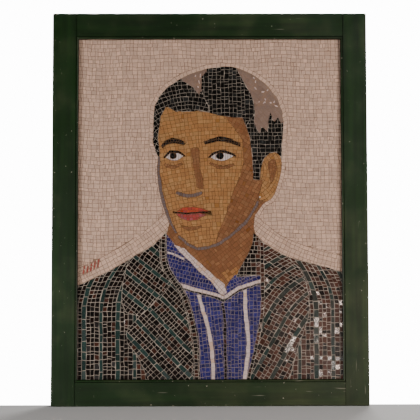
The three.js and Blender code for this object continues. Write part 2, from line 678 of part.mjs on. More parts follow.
const shirt = [
  ["piping_left", "shirt_white", outline([
    [[-0.247, 0.02]],
    [[-0.215, -0.02]],
    [[-0.13, -0.105], [-0.03, -0.2], COLLAR_POINT],
    [[0.045, -0.24]],
    [[0.03, -0.2], [-0.06, -0.12], [-0.16, -0.03], [-0.2, 0.005]],
  ])],
  ["piping_right", "shirt_white", stroke([
    COLLAR_POINT, [0.12, -0.214], [0.26, -0.17],
  ], FOLD_WIDTH)],
  ["collar_fold", "shirt_white", stroke([
    [-0.24, -0.19], [-0.14, -0.222], [-0.03, -0.252], COLLAR_POINT,
  ], FOLD_WIDTH)],
  ["collar_shadow", "hair", outline([
    [[-0.24, -0.19], [-0.14, -0.222], [-0.03, -0.252]],
    [COLLAR_POINT, [0.12, -0.214]],
    [[0.26, -0.17]],
    [[0.26, -0.1895], [0.12, -0.2335]],
    [[0.026, -0.293], [-0.03, -0.2715], [-0.14, -0.2415]],
    [[-0.24, -0.2095]],
  ])],
  ["right_collar_leaf", "shirt", outline([
    [[0.02, -0.236]],
    [[0.03, -0.272], [0.12, -0.21], [0.3, -0.16]],
    [[0.3, -0.1]],
    [[0.08, -0.15]],
  ])],
  ["left_collar_leaf", "shirt", outline([
    [[-0.287, 0.075], [-0.24, 0.02], [-0.17, -0.05], [0.02, -0.26]],
    [[-0.1, -0.235], [-0.3, -0.165]],
    [[-0.3, 0]],
  ])],
  ["neck", "shade", neckOutline],
  ["left_stripe", "shirt_white", stroke([
    [-0.112, -0.255], [-0.061, -0.43], [-0.038, -0.579], [-0.033, -0.705], [-0.033, -1],
  ], STRIPE_WIDTH)],
  ["right_stripe", "shirt_white", stroke([
    [0.139, -0.21], [0.144, -0.364], [0.158, -0.495], [0.153, -0.598], [0.139, -0.691], [0.1, -1],
  ], STRIPE_WIDTH)],
  ["placket", "cloth", stroke([
    [0.018, -0.299], [0.03, -0.411], [0.034, -0.7], [0.034, -1],
  ], PLACKET_WIDTH)],
  ["shirt_left_side", "shirt", outline([
    [[-0.4, 0]],
    [[-0.4, -1.2]],
    [[-0.033, -1.2]],
    [[-0.033, -0.705], [-0.038, -0.579], [-0.061, -0.43], [-0.108, -0.27], [-0.16, -0.16]],
  ]), null, shirtOutline],
  ["shirt_right_side", "shirt", outline([
    [[0.5, -0.1]],
    [[0.139, -0.18], [0.144, -0.364], [0.158, -0.495], [0.153, -0.598], [0.139, -0.691], [0.1, -1]],
    [[0.5, -1]],
  ]), null, shirtOutline],
  ["shirt_front_left", "shirt", outline([
    [[-0.2, -0.1]],
    [[-0.2, -1.2]],
    [[0.034, -1.2]],
    [[0.034, -0.7], [0.03, -0.411], [0.018, -0.299]],
    [[0.018, -0.1]],
  ]), null, shirtOutline],
  ["shirt_front_right", "shirt", shirtOutline],
];

// Only the largest body of a field is kept: what a neighbour cuts off is a sliver.
function largest(solid) {
  return solid.decompose().reduce((a, b) => (a.volume() > b.volume() ? a : b));
}

function tesseraPlate(points, growth) {
  return plate(grow(points, growth), TESSERA_BACK, FACE_DEPTH);
}

const cutter = (points, growth) =>
  plate(grow(points, growth), TESSERA_BACK - BEYOND, FACE_DEPTH + BEYOND);

const cutterOf = (outlines, growth) =>
  outlines.map((points) => cutter(points, growth)).reduce((a, b) => a.add(b));

// The pale ground beyond the figure: bands of rows that follow the shoulders and the head, and the rest.
function groundFields(insert, figure) {
  const wholePicture = rectangle(INSERT_WIDTH, INSERT_HEIGHT);
  const shoulderRows = {
    ground_left_shoulder: [leftJacket, archedRows([-1.4695, 1.5535], GROUND_COURSE, 90)],
    ground_right_shoulder: [rightJacket, archedRows([0.804, 0.855], GROUND_COURSE, 90)],
  };
  const open = insert.subtract(figure);
  const shoulders = Object.entries(shoulderRows).map(([name, [points, rows]]) => {
    const band = open.intersect(cutter(points, SHOULDER_HALO_COURSES * GROUND_COURSE - FIELD_JOINT / 2));
    return [name, largest(band.subtract(jointStrips(wholePicture, rows, GROUND_JOINT)))];
  });
  const beyondShoulders = open.subtract(
    cutterOf([leftJacket, rightJacket], SHOULDER_HALO_COURSES * GROUND_COURSE + FIELD_JOINT / 2),
  );
  const headReach = HEAD_HALO_COURSES * GROUND_COURSE;
  const around = beyondShoulders.intersect(cutterOf(head, headReach - FIELD_JOINT / 2));
  const rest = beyondShoulders.subtract(cutterOf(head, headReach + FIELD_JOINT / 2));
  return [...shoulders, ["ground_head", largest(around)], ["ground", largest(rest)]];
}

function mosaicFields() {
  const insert = tesseraPlate(rectangle(INSERT_WIDTH, INSERT_HEIGHT), 0);
  let upper = null;
  const figure = [...features, ...hair, ...jacket, ...shirt].map(([name, finish, points, rows, within]) => {
    let solid = tesseraPlate(points, -FIELD_JOINT / 2).intersect(insert);
    let room = cutter(points, FIELD_JOINT / 2);
    if (within) {
      solid = solid.intersect(cutter(within, -FIELD_JOINT / 2));
      room = room.intersect(cutter(within, FIELD_JOINT / 2));
    }
    if (upper) solid = solid.subtract(upper);
    upper = upper ? upper.add(room) : room;
    if (rows) solid = solid.subtract(jointStrips(points, rows, finish === "hair" ? HAIR_JOINT : CLOTH_JOINT));
    return meshOf(`mosaic_${name}`, geometryOf(largest(solid)), glass[finish]);
  });
  const ground = groundFields(insert, upper).map(([name, solid]) =>
    meshOf(`mosaic_${name}`, geometryOf(solid), glass.ground),
  );
  return [...figure, ...ground];
}

const backingBoard = plate(rectangle(INSERT_WIDTH, INSERT_HEIGHT), BOARD_RECESS, BOARD_FRONT);
const mortarBed = plate(rectangle(INSERT_WIDTH, INSERT_HEIGHT), BED_BACK, BED_FRONT);

const panel = new THREE.Group();
panel.add(...frameMembers());
panel.add(meshOf("backing_board", geometryOf(backingBoard), boardBrown));
panel.add(meshOf("mortar_bed", geometryOf(mortarBed), mortarGrey));
panel.add(...mosaicFields());

export default panel;
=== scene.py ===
"""Lays the tesserae of a framed mosaic panel over its fixed parts, then finishes and lights it.

Lengths are metres. The panel stands upright and its picture faces -Y.
"""

import json
import math
import random
from bisect import bisect_right

import bmesh
import bpy
from bpy.props import FloatProperty, FloatVectorProperty, PointerProperty
from bpy.types import Operator, Panel, PropertyGroup
from mathutils import Matrix, Vector
from mathutils.noise import noise as noise_at

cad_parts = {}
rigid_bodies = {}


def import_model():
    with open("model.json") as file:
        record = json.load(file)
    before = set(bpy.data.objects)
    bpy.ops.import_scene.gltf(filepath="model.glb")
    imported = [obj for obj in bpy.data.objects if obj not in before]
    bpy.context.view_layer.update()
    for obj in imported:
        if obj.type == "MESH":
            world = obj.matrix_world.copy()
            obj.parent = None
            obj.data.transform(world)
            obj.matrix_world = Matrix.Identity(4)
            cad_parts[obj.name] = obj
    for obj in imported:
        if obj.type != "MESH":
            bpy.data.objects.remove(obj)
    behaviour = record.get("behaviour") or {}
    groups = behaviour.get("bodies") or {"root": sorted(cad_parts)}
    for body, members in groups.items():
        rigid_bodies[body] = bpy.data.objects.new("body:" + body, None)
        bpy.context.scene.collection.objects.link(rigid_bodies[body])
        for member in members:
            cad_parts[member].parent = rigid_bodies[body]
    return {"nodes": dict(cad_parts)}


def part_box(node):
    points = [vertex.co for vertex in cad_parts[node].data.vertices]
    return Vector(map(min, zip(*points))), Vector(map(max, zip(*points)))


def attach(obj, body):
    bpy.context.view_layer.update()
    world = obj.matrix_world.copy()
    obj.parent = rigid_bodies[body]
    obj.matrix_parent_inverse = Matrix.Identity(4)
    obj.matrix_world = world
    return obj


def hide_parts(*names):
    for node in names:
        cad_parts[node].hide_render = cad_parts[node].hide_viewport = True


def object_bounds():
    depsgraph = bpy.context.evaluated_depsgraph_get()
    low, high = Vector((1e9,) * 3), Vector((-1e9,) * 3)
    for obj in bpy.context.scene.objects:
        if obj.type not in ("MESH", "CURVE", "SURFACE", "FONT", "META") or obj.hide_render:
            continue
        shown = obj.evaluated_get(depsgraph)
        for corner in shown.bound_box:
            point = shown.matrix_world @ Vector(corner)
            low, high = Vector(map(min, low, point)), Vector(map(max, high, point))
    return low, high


bl_info = {
    "name": "Framed Mosaic Panel",
    "version": (1, 0, 0),
    "blender": (4, 5, 0),
    "location": "View3D > Sidebar > Mosaic",
    "description": "Tesserae, joints, paint and studio for a framed mosaic panel",
    "category": "Object",
}

for leftover in list(bpy.data.objects):
    bpy.data.objects.remove(leftover)
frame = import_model()
CAD_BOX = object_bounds()
BODY = "root"

# Levels above the wall and sizes of the picture, from the fixed parts
AREA_PREFIX = "mosaic_"
GROUND_LOW, GROUND_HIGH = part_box("mosaic_ground")
TESSERA_BACK = -GROUND_HIGH.y
FACE_LEVEL = -GROUND_LOW.y
SIGHT_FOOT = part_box("frame_bottom_rail")[1].z
SIGHT_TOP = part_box("frame_top_rail")[0].z
PICTURE_HEIGHT = SIGHT_TOP - SIGHT_FOOT
PICTURE_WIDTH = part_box("frame_right_stile")[0].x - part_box("frame_left_stile")[1].x
MEMBER_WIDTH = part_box("frame_left_stile")[1].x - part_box("frame_left_stile")[0].x
PANEL_MIDDLE = (CAD_BOX[0][2] + CAD_BOX[1][2]) / 2

# The figure's own measure: points are shares of the head's height, from below its middle at the chin
HEAD_HEIGHT = 0.5397 * PICTURE_HEIGHT
CHIN = Vector((0.0343 * PICTURE_WIDTH, SIGHT_FOOT + 0.3828 * PICTURE_HEIGHT))

# How tesserae are cut and set
WELD = 1e-6
FACING = 0.5  # least part of a normal in a direction, for a face to count as facing it
AREA_GROWTH = 0.00065  # half the gap that the fixed parts leave between areas
CURVE_STEP = 0.018  # longest chord before an area is bent along its rows
ROW_WANDER = 0.07  # as in the fixed parts, share of a course
WANDER_PERIOD = 2.6
LONG_SWAY = 0.047  # lengths of the waves of a row, over two pi, and the share of the short ones
SHORT_SWAY = 0.021
SHORT_SHARE = 0.6
SWAY_PHASE = 1.3
PHASE_BY_COURSE = 1000
STROKE_STEP = 0.004  # from one point to the next of a line that rows follow
SPARE_ROWS = 2
FIRST_TILE = (0.05, 1.0)  # how far before an area its rows begin, in tesserae
TILE_LIMITS = (0.6, 1.45)  # shortest and longest tessera of a row
SHORTEST_EDGE = 0.0009
SLIVER_SHARE = 0.13  # of a whole tessera, below which a cut piece is left out
FLAT_ANGLE = math.radians(7)
CUT_ANGLE = math.radians(1)
LEAST_TOP = 1.2e-6  # smallest face of a tessera, in square metres, and its least width
LEAST_WIDTH = 0.0007
STRIPE_PERIOD = 4  # rows from one stripe of the jacket to the next
STRIPE_STRETCH = 2.3  # length of a stripe's tesserae against the others
FOLLOW_REACH = 0.46  # how near a cross joint of the row before is, to be followed, and how closely
FOLLOW_SLIP = 0.07
STROKE_REACH = 0.007  # how near a stroke tesserae are that it may part
CORNER_SLIP = 0.22  # how far corners stray, as a share of the joint
STRAY_REACH = 0.0022  # how far joints stray in unison, and over what distance that changes
STRAY_GRAIN = 0.013
STRAY_LEVELS = (0.3, 7.7)  # where in the noise the sideways and the upward part are read
TYPICAL_TURN = 0.016  # typical turn of a tessera in its bed
TYPICAL_RISE = (-0.4, 0.6)  # mean and spread of how high a face stands, in shares of the unevenness
CHAMFER_RISE = 0.8  # height of the worn edge against its width
TIGHT_SHARE = 0.35  # of a tessera's area, less than which its joints can't be cut, so it is scaled
TIGHT_SCALE = 0.74
NUMBERS = ("second", "accent", "tone")  # what each tessera carries for its material

# A small red mark on the ground, of strokes that mean nothing: left end, foot and height of each
MARK_CORNER = Vector((-PICTURE_WIDTH / 2, SIGHT_FOOT))
MARK_STROKES = (
    (0.014, 0.266, 0.023),
    (0.023, 0.268, 0.019),
    (0.032, 0.272, 0.024),
    (0.041, 0.279, 0.020),
    (0.050, 0.283, 0.021),
)
MARK_LEAN = 0.003
MARK_WIDTH = 0.0046
COLLAR_STRIPE = ((-0.305, -0.018), (-0.245, -0.036), (-0.186, -0.062))
COLLAR_STRIPE_WIDTH = 0.0056

FLATTEN = Matrix.Rotation(-math.pi / 2, 4, "X")
STAND_UP = Matrix.Rotation(math.pi / 2, 4, "X")


def figure_point(share):
    """A point of the figure in the picture's plane."""
    return CHIN + Vector(share) * HEAD_HEIGHT


def direction(degrees):
    """A unit vector in the picture's plane, at an angle from level."""
    turn = math.radians(degrees)
    return Vector((math.cos(turn), math.sin(turn)))


# Sizes and colours that a user would change


def measure(name, description, default, least=0.0005):
    """A length property with the settings that they all share."""
    return FloatProperty(name=name, description=description, default=default, min=least, unit="LENGTH")


class TesseraSizes(PropertyGroup):
    """Sizes of the tesserae, their joints and how unevenly they are set."""

    cloth_course: measure("Cloth Course", "Pitch of the rows in the jacket", 0.0107, 0.004)
    hair_course: measure("Hair Course", "Pitch of the rows in the hair", 0.0104, 0.004)
    ground_course: measure("Ground Course", "Pitch of the rows in the pale ground", 0.01, 0.004)
    skin_course: measure("Skin Course", "Pitch of the rows in the face, ear and neck", 0.0098, 0.004)
    shirt_course: measure("Shirt Course", "Pitch of the rows in the shirt", 0.0102, 0.004)
    small_course: measure("Small Course", "Pitch of the small tesserae in fine shapes", 0.0064, 0.003)
    cloth_joint: measure("Cloth Joint", "Width of the open joints in the jacket", 0.0013)
    hair_joint: measure("Hair Joint", "Width of the joints in the hair", 0.0009)
    ground_joint: measure("Ground Joint", "Width of the joints in the ground", 0.0012)
    skin_joint: measure("Skin Joint", "Width of the joints in the face, ear and neck", 0.001)
    shirt_joint: measure("Shirt Joint", "Width of the joints in the shirt", 0.0012)
    joint_depth: measure("Joint Depth", "How far the mortar lies below the faces", 0.0007, 0.0001)
    chamfer: measure("Chamfer", "Worn edge round the face of each tessera", 0.0003, 0.0001)
    unevenness: measure("Unevenness", "How far faces stand above or below each other", 0.00014, 0.0)
    tilt: FloatProperty(
        name="Tilt",
        description="How far a face leans from the panel's plane, as a typical slope",
        default=0.022,
        min=0.0,
        max=0.1,
    )


def colour(name, description, default):
    """A colour property with the defaults that they all share."""
    return FloatVectorProperty(
        name=name, description=description, subtype="COLOR", size=3, min=0.0, max=1.0, default=default
    )


class PanelColours(PropertyGroup):
    """Colours of the glass, the mortar, the paint and the studio."""

    ground: colour("Ground", "Pale rose-beige glass", (0.56, 0.37, 0.272))
    ground_second: colour("Ground, Second", "Greyer tesserae in the ground", (0.49, 0.33, 0.248))
    mark: colour("Mark", "Red glass of the small mark", (0.27, 0.030, 0.022))
    hair: colour("Hair", "Black glass", (0.0034, 0.0026, 0.0017))
    hair_second: colour("Hair, Second", "Slate tesserae in the hair", (0.018, 0.018, 0.017))
    highlight: colour("Highlight", "Mauve-grey glass", (0.195, 0.127, 0.098))
    skin: colour("Skin", "Ochre-brown glass", (0.29, 0.129, 0.039))
    skin_second: colour("Skin, Second", "Lighter and yellower ochre", (0.32, 0.164, 0.058))
    shade: colour("Shade", "Red-brown glass", (0.175, 0.063, 0.020))
    shade_second: colour("Shade, Second", "Lighter red-brown", (0.215, 0.092, 0.034))
    contour: colour("Contour", "Grey glass of the lines", (0.115, 0.083, 0.080))
    eye_white: colour("Eye White", "Off-white glass", (0.52, 0.44, 0.42))
    lip_upper: colour("Upper Lip", "Orange-red glass", (0.40, 0.045, 0.014))
    lip_lower: colour("Lower Lip", "Deep red glass", (0.30, 0.030, 0.028))
    lip_second: colour("Lip, Second", "Rose tesserae in the lower lip", (0.27, 0.06, 0.075))
    shirt: colour("Shirt", "Deep blue glass", (0.0062, 0.0050, 0.070))
    shirt_second: colour("Shirt, Second", "Lighter blue glass", (0.020, 0.018, 0.125))
    shirt_white: colour("Shirt White", "Warm white glass", (0.56, 0.44, 0.42))
    cloth: colour("Cloth", "Brown-black glass", (0.0020, 0.0012, 0.0007))
    cloth_second: colour("Cloth, Second", "Dark brown glass", (0.048, 0.0172, 0.0108))
    stripe: colour("Stripe", "Teal glass of the stripes", (0.015, 0.032, 0.028))
    mortar_pale: colour("Pale Mortar", "Mortar between dark tesserae", (0.36, 0.303, 0.252))
    mortar_ground: colour("Ground Mortar", "Mortar in the ground", (0.24, 0.15, 0.105))
    mortar_skin: colour("Skin Mortar", "Mortar in the face and neck", (0.13, 0.062, 0.026))
    mortar_shirt: colour("Shirt Mortar", "Mortar in the shirt", (0.24, 0.185, 0.19))
    paint: colour("Paint", "Dark green paint of the frame", (0.0052, 0.0185, 0.0030))
    paint_worn: colour("Worn Paint", "Scuffed paint", (0.030, 0.040, 0.013))
    undercoat: colour("Undercoat", "What shows in chips and scratches", (0.42, 0.38, 0.30))
    timber: colour("Timber", "Bare wood at the back", (0.30, 0.185, 0.095))
    floor: colour("Floor", "Pale studio floor", (0.88, 0.88, 0.88))


# Rows of tesserae: to_rows gives the length along a row and the distance across the rows


class StraightRows:
    """Rows at an angle from level."""

    curved = False

    def __init__(self, degrees, course, **cut):
        self.along = direction(degrees)
        self.across = direction(degrees + 90)
        self.course = course
        self.tile = cut.get("tile", course)  # length of a tessera along its row
        self.single = cut.get("single", False)  # one course, cut only crosswise
        self.ragged = cut.get("ragged", 0.1)  # unevenness of the tesserae's lengths
        self.loose = cut.get("loose", 1.0)  # share of cross joints that don't follow the row before
        self.sway = cut.get("sway", 0.0)  # how far rows wave
        self.stripes = cut.get("stripes")  # which rows of four are the other colour

    def settle(self, faces):
        """Nothing to settle for straight rows."""

    def tile_at(self, across):
        return self.tile

    def sway_at(self, along):
        short_wave = math.sin(along / SHORT_SWAY + self.course * PHASE_BY_COURSE)
        return self.sway * (math.sin(along / LONG_SWAY + SWAY_PHASE) + SHORT_SHARE * short_wave)

    def to_rows(self, point):
        offset = point - CHIN
        return offset.dot(self.along), offset.dot(self.across)

    def to_picture(self, along, across):
        return CHIN + self.along * along + self.across * across


class BowedRows(StraightRows):
    """Rows that run straight up to a foot and bow sideways beyond it."""

    curved = True

    def __init__(self, degrees, course, foot, rise, lean, **cut):
        super().__init__(degrees, course, **cut)
        self.foot = foot * HEAD_HEIGHT
        self.rise = rise * HEAD_HEIGHT
        self.lean = lean * HEAD_HEIGHT

    def bow(self, along):
        above = max(0.0, along - self.foot) / self.rise
        return self.lean * above * above

    def to_rows(self, point):
        along, across = super().to_rows(point)
        return along, across - self.bow(along)

    def to_picture(self, along, across):
        return super().to_picture(along, across + self.bow(along))


class ArchedRows(StraightRows):
    """Rows on circles about a hub."""

    curved = True

    def __init__(self, hub, course, **cut):
        super().__init__(0, course, **cut)
        self.hub = figure_point(hub)
        self.facing = cut.get("facing")
        self.radius = 1.0

    def settle(self, faces):
        """Takes the mean distance of the area as the one at which lengths along the rows are true."""
        parts = [(face.calc_center_median().to_2d() - self.hub, face.calc_area()) for face in faces]
        total = sum(area for _, area in parts)
        self.radius = sum(reach.length * area for reach, area in parts) / total
        if self.facing is None:
            middle = sum((reach * area for reach, area in parts), Vector((0, 0)))
            self.facing = math.degrees(math.atan2(middle.y, middle.x))

    def tile_at(self, across):
        return self.tile * self.radius / max(abs(across), self.tile)

    def to_rows(self, point):
        reach = point - self.hub
        turn = math.atan2(reach.y, reach.x) - math.radians(self.facing)
        turn = (turn + math.pi) % (2 * math.pi) - math.pi
        return -turn * self.radius, reach.length

    def to_picture(self, along, across):
        turn = math.degrees(-along / self.radius) + self.facing
        return self.hub + direction(turn) * across


class StrokeRows(StraightRows):
    """Rows that follow a line of the figure."""

    curved = True

    def __init__(self, line, course, **cut):
        super().__init__(0, course, **cut)
        self.middle = spline([figure_point(share) for share in line], STROKE_STEP)
        self.lengths = [0.0]
        for a, b in zip(self.middle, self.middle[1:]):
            self.lengths.append(self.lengths[-1] + (b - a).length)

    def tangent(self, i):
        last = len(self.middle) - 1
        return (self.middle[min(i + 1, last)] - self.middle[max(i - 1, 0)]).normalized()

    def to_rows(self, point):
        i = min(range(len(self.middle)), key=lambda n: (self.middle[n] - point).length_squared)
        tangent = self.tangent(i)
        offset = point - self.middle[i]
        return self.lengths[i] + offset.dot(tangent), tangent.x * offset.y - tangent.y * offset.x

    def to_picture(self, along, across):
        i = max(0, min(bisect_right(self.lengths, along) - 1, len(self.middle) - 2))
        span = self.lengths[i + 1] - self.lengths[i]
        share = (along - self.lengths[i]) / span
        inside = min(max(share, 0.0), 1.0)
        tangent = self.tangent(i).lerp(self.tangent(i + 1), inside).normalized()
        point = self.middle[i].lerp(self.middle[i + 1], inside)
        point = point + tangent * (share - inside) * span
        return point + Vector((-tangent.y, tangent.x)) * across


def spline(points, step):
    """A smooth line through points, as points a step apart, by Catmull and Rom's weights."""
    ends = [points[0] * 2 - points[1], *points, points[-1] * 2 - points[-2]]
    line = []
    for before, a, b, after in zip(ends, ends[1:], ends[2:], ends[3:]):
        count = max(2, round((b - a).length / step))
        for i in range(count):
            t = i / count
            line.append(
                a * (1 + t * t * (1.5 * t - 2.5))
                + b * (t * (0.5 + t * (2 - 1.5 * t)))
                + before * (t * (-0.5 + t * (1 - 0.5 * t)))
                + after * (t * t * (0.5 * t - 0.5))
            )
    return [*line, points[-1]]


# Cutting an area into tesserae


def area_mesh(node):
    """The back of an area's solid as a flat mesh, x across, y up and z the height above the wall."""
    bm = bmesh.new()
    bm.from_mesh(frame["nodes"][node].data)
    bmesh.ops.remove_doubles(bm, verts=bm.verts[:], dist=WELD)
    not_back = [face for face in bm.faces if face.normal.y < FACING]
    bmesh.ops.delete(bm, geom=not_back, context="FACES")
    bmesh.ops.transform(bm, matrix=FLATTEN, verts=bm.verts[:])
    bmesh.ops.reverse_faces(bm, faces=bm.faces[:])
    rim = bmesh.ops.inset_region(
        bm, faces=bm.faces[:], thickness=-AREA_GROWTH, use_even_offset=True, use_boundary=True
    )
    bmesh.ops.delete(bm, geom=rim["faces"], context="FACES")
    return bm


def cut_at(bm, value, axis):
    """Cuts everything along one line of the plane."""
    normal = Vector((0, 0, 0))
    normal[axis] = 1
    everything = bm.verts[:] + bm.edges[:] + bm.faces[:]
    bmesh.ops.bisect_plane(bm, geom=everything, dist=WELD, plane_co=normal * value, plane_no=normal)


def limits(bm, axis):
    values = [vert.co[axis] for vert in bm.verts]
    return min(values), max(values)


def part_by(bm, layer):
    """Parts the faces wherever a number changes from one to the next."""
    between = [edge for edge in bm.edges if len({face[layer] for face in edge.link_faces}) > 1]
    bmesh.ops.split_edges(bm, edges=between)


def row_joint(rows, k):
    return rows.course * (k + 0.5 + ROW_WANDER * math.sin(2 * math.pi * k / WANDER_PERIOD))


def tile_joints(rows, row, low, high, before, dice):
    """Where one row's cross joints fall, most of them close to those of the row before."""
    length = rows.tile if rows.single else rows.tile_at(rows.course * row)
    if is_stripe(rows, row):
        length *= STRIPE_STRETCH
    shortest, longest = TILE_LIMITS
    places = [low - length * dice.uniform(*FIRST_TILE)]
    while places[-1] < high + length:
        place = places[-1] + length * dice.gauss(1, rows.ragged)
        if before and dice.random() > rows.loose:
            i = min(bisect_right(before, place), len(before) - 1)
            near = min(before[max(i - 1, 0)], before[i], key=lambda other: abs(other - place))
            if abs(near - place) < FOLLOW_REACH * length:
                place = near + length * dice.gauss(0, FOLLOW_SLIP)
        place = max(place, places[-1] + shortest * length)
        places.append(min(place, places[-1] + longest * length))
    return places


def is_stripe(rows, row):
    return rows.stripes is not None and row % STRIPE_PERIOD == rows.stripes


def cut_area(bm, rows, dice):
    """Cuts a flat area along its rows and across them, so that each tessera is one face by itself."""
    row_of = bm.faces.layers.int.new("row")
    number_of = bm.faces.layers.int.new("number")
    if rows.curved:
        for axis in (0, 1):
            low, high = limits(bm, axis)
            for i in range(1, int((high - low) / CURVE_STEP) + 1):
                cut_at(bm, low + i * CURVE_STEP, axis)
    rows.settle(bm.faces)
    for vert in bm.verts:
        along, across = rows.to_rows(vert.co.to_2d())
        vert.co = (along, across + rows.sway_at(along), 0)

    low, high = limits(bm, 1)
    joints = []
    if not rows.single:
        first = math.floor(low / rows.course) - SPARE_ROWS
        last = math.ceil(high / rows.course) + SPARE_ROWS
        joints = [row_joint(rows, k) for k in range(first, last)]
        for joint in joints:
            if low < joint < high:
                cut_at(bm, joint, 1)
    for face in bm.faces:
        place = bisect_right(joints, face.calc_center_median().y)
        face[row_of] = first + place if joints else 0
    part_by(bm, row_of)

    low, high = limits(bm, 0)
    places = {}
    before = None
    for row in sorted({face[row_of] for face in bm.faces}):
        places[row] = tile_joints(rows, row, low, high, before, dice)
        if not is_stripe(rows, row):
            before = places[row]
    for vert in bm.verts:
        vert.co.x = rows.tile * even_place(places[vert.link_faces[0][row_of]], vert.co.x)
    low, high = limits(bm, 0)
    for i in range(math.ceil(low / rows.tile), math.floor(high / rows.tile) + 1):
        cut_at(bm, i * rows.tile, 0)
    for face in bm.faces:
        face[number_of] = math.floor(face.calc_center_median().x / rows.tile)
    part_by(bm, number_of)
    verts, edges = bm.verts[:], bm.edges[:]
    bmesh.ops.dissolve_limit(bm, angle_limit=CUT_ANGLE, verts=verts, edges=edges, delimit=set())
    for vert in bm.verts:
        row = vert.link_faces[0][row_of]
        along = true_place(places[row], vert.co.x / rows.tile)
        vert.co = strayed(rows.to_picture(along, vert.co.y - rows.sway_at(along)))


def strayed(point):
    """A point moved a little, as hand-laid joints stray. Both sides of a joint move alike."""
    border = min(PICTURE_WIDTH / 2 - abs(point.x), point.y - SIGHT_FOOT, SIGHT_TOP - point.y)
    share = min(max(border / STRAY_GRAIN, 0.0), 1.0)
    across, up = (noise_at((*(point / STRAY_GRAIN), level)) for level in STRAY_LEVELS)
    return (point + Vector((across, up)) * STRAY_REACH * share).to_3d()


def even_place(places, value):
    """The number of a row's joints up to a length, with the share of the tessera that follows."""
    i = max(0, min(bisect_right(places, value) - 1, len(places) - 2))
    return i + (value - places[i]) / (places[i + 1] - places[i])


def true_place(places, number):
    i = max(0, min(int(number), len(places) - 2))
    return places[i] + (number - i) * (places[i + 1] - places[i])


def tidy_cuts(bm, whole):
    """Straightens the cut edges and drops slivers."""
    corners = [vert for vert in bm.verts if len(vert.link_edges) == 2 and len(vert.link_faces) == 1]
    straight = [vert for vert in corners if vert.calc_edge_angle() < FLAT_ANGLE]
    bmesh.ops.dissolve_verts(bm, verts=straight)
    bmesh.ops.dissolve_degenerate(bm, dist=SHORTEST_EDGE, edges=bm.edges[:])
    slivers = [face for face in bm.faces if face.calc_area() < SLIVER_SHARE * whole]
    bmesh.ops.delete(bm, geom=slivers, context="FACES")
    for face in bm.faces:
        face.normal_update()
    bmesh.ops.reverse_faces(bm, faces=[face for face in bm.faces if face.normal.z < 0])


def open_joints(bm, joint):
    """Shrinks each face by half a joint all round."""
    tight, roomy = [], []
    for face in bm.faces:
        area = face.calc_area()
        left = area - face.calc_perimeter() * joint / 2 + joint * joint
        (tight if left < TIGHT_SHARE * area else roomy).append(face)
    for face in tight:
        middle = face.calc_center_median()
        for vert in face.verts:
            vert.co = middle + (vert.co - middle) * TIGHT_SCALE
    rim = bmesh.ops.inset_individual(bm, faces=roomy, thickness=joint / 2, use_even_offset=True)
    bmesh.ops.delete(bm, geom=rim["faces"], context="FACES")
    bmesh.ops.dissolve_degenerate(bm, dist=SHORTEST_EDGE, edges=bm.edges[:])
    for face in bm.faces:
        face.normal_update()
    spoilt = []
    for face in bm.faces:
        least = max(LEAST_TOP, LEAST_WIDTH * face.calc_perimeter() / 2)
        if face.normal.z < FACING or face.calc_area() < least:
            spoilt.append(face)
    bmesh.ops.delete(bm, geom=spoilt, context="FACES")
    loose = [vert for vert in bm.verts if not vert.link_faces]
    bmesh.ops.delete(bm, geom=loose, context="VERTS")


def set_tesserae(bm, sizes, joint, dice):
    """Turns the flat faces into tesserae with a worn edge, each turned and leaning a little."""
    tessera_of = bm.faces.layers.int.new("tessera")
    tilts = []
    for i, face in enumerate(bm.faces):
        face[tessera_of] = i
        middle = face.calc_center_median()
        turn = Matrix.Rotation(dice.gauss(0, TYPICAL_TURN), 3, "Z")
        for vert in face.verts:
            vert.co = middle + turn @ (vert.co - middle)
            vert.co.x += dice.uniform(-1, 1) * joint * CORNER_SLIP
            vert.co.y += dice.uniform(-1, 1) * joint * CORNER_SLIP
            vert.co.z = FACE_LEVEL - sizes.chamfer * CHAMFER_RISE
        slope = Vector((dice.gauss(0, sizes.tilt), dice.gauss(0, sizes.tilt)))
        tilts.append((middle.to_2d(), slope, dice.gauss(*TYPICAL_RISE) * sizes.unevenness))
    thickness = FACE_LEVEL - sizes.chamfer - TESSERA_BACK
    bmesh.ops.solidify(bm, geom=bm.faces[:], thickness=thickness)
    for face in bm.faces:
        face.normal_update()
    tops = [face for face in bm.faces if face.normal.z > FACING]
    width, height = sizes.chamfer, sizes.chamfer * CHAMFER_RISE
    bmesh.ops.inset_individual(bm, faces=tops, thickness=width, depth=height, use_even_offset=True)
    highest = FACE_LEVEL + 2 * sizes.unevenness
    for vert in bm.verts:
        if vert.co.z > FACE_LEVEL - 2 * sizes.chamfer:
            middle, slope, rise = tilts[vert.link_faces[0][tessera_of]]
            lean = (vert.co.to_2d() - middle).dot(slope)
            vert.co.z = min(vert.co.z + rise + lean, highest)


def near_stroke(face, foot, top, reach):
    """Whether a face's middle lies within a reach of a stroke."""
    along = (top - foot).normalized()
    offset = face.calc_center_median().to_2d() - foot
    beside = abs(along.x * offset.y - along.y * offset.x)
    return beside < reach and -reach < offset.dot(along) < (top - foot).length + reach


def part_strokes(bm, strokes):
    """Parts narrow strokes off the tesserae and marks them, to be of the accent's colour."""
    mark = bm.faces.layers.int.new("mark")
    for foot, top, width in strokes:
        along = (top - foot).normalized()
        beside = Vector((-along.y, along.x))
        side = beside * width / 2
        for point, normal in ((foot + side, beside), (foot - side, beside), (foot, along), (top, along)):
            faces = [face for face in bm.faces if near_stroke(face, foot, top, STROKE_REACH)]
            edges = dict.fromkeys(edge for face in faces for edge in face.edges)
            verts = dict.fromkeys(vert for face in faces for vert in face.verts)
            around, place, facing = [*verts, *edges, *faces], point.to_3d(), normal.to_3d()
            bmesh.ops.bisect_plane(bm, geom=around, dist=WELD, plane_co=place, plane_no=facing)
        for face in bm.faces:
            if near_stroke(face, foot, top, width / 2):
                face[mark] = 1


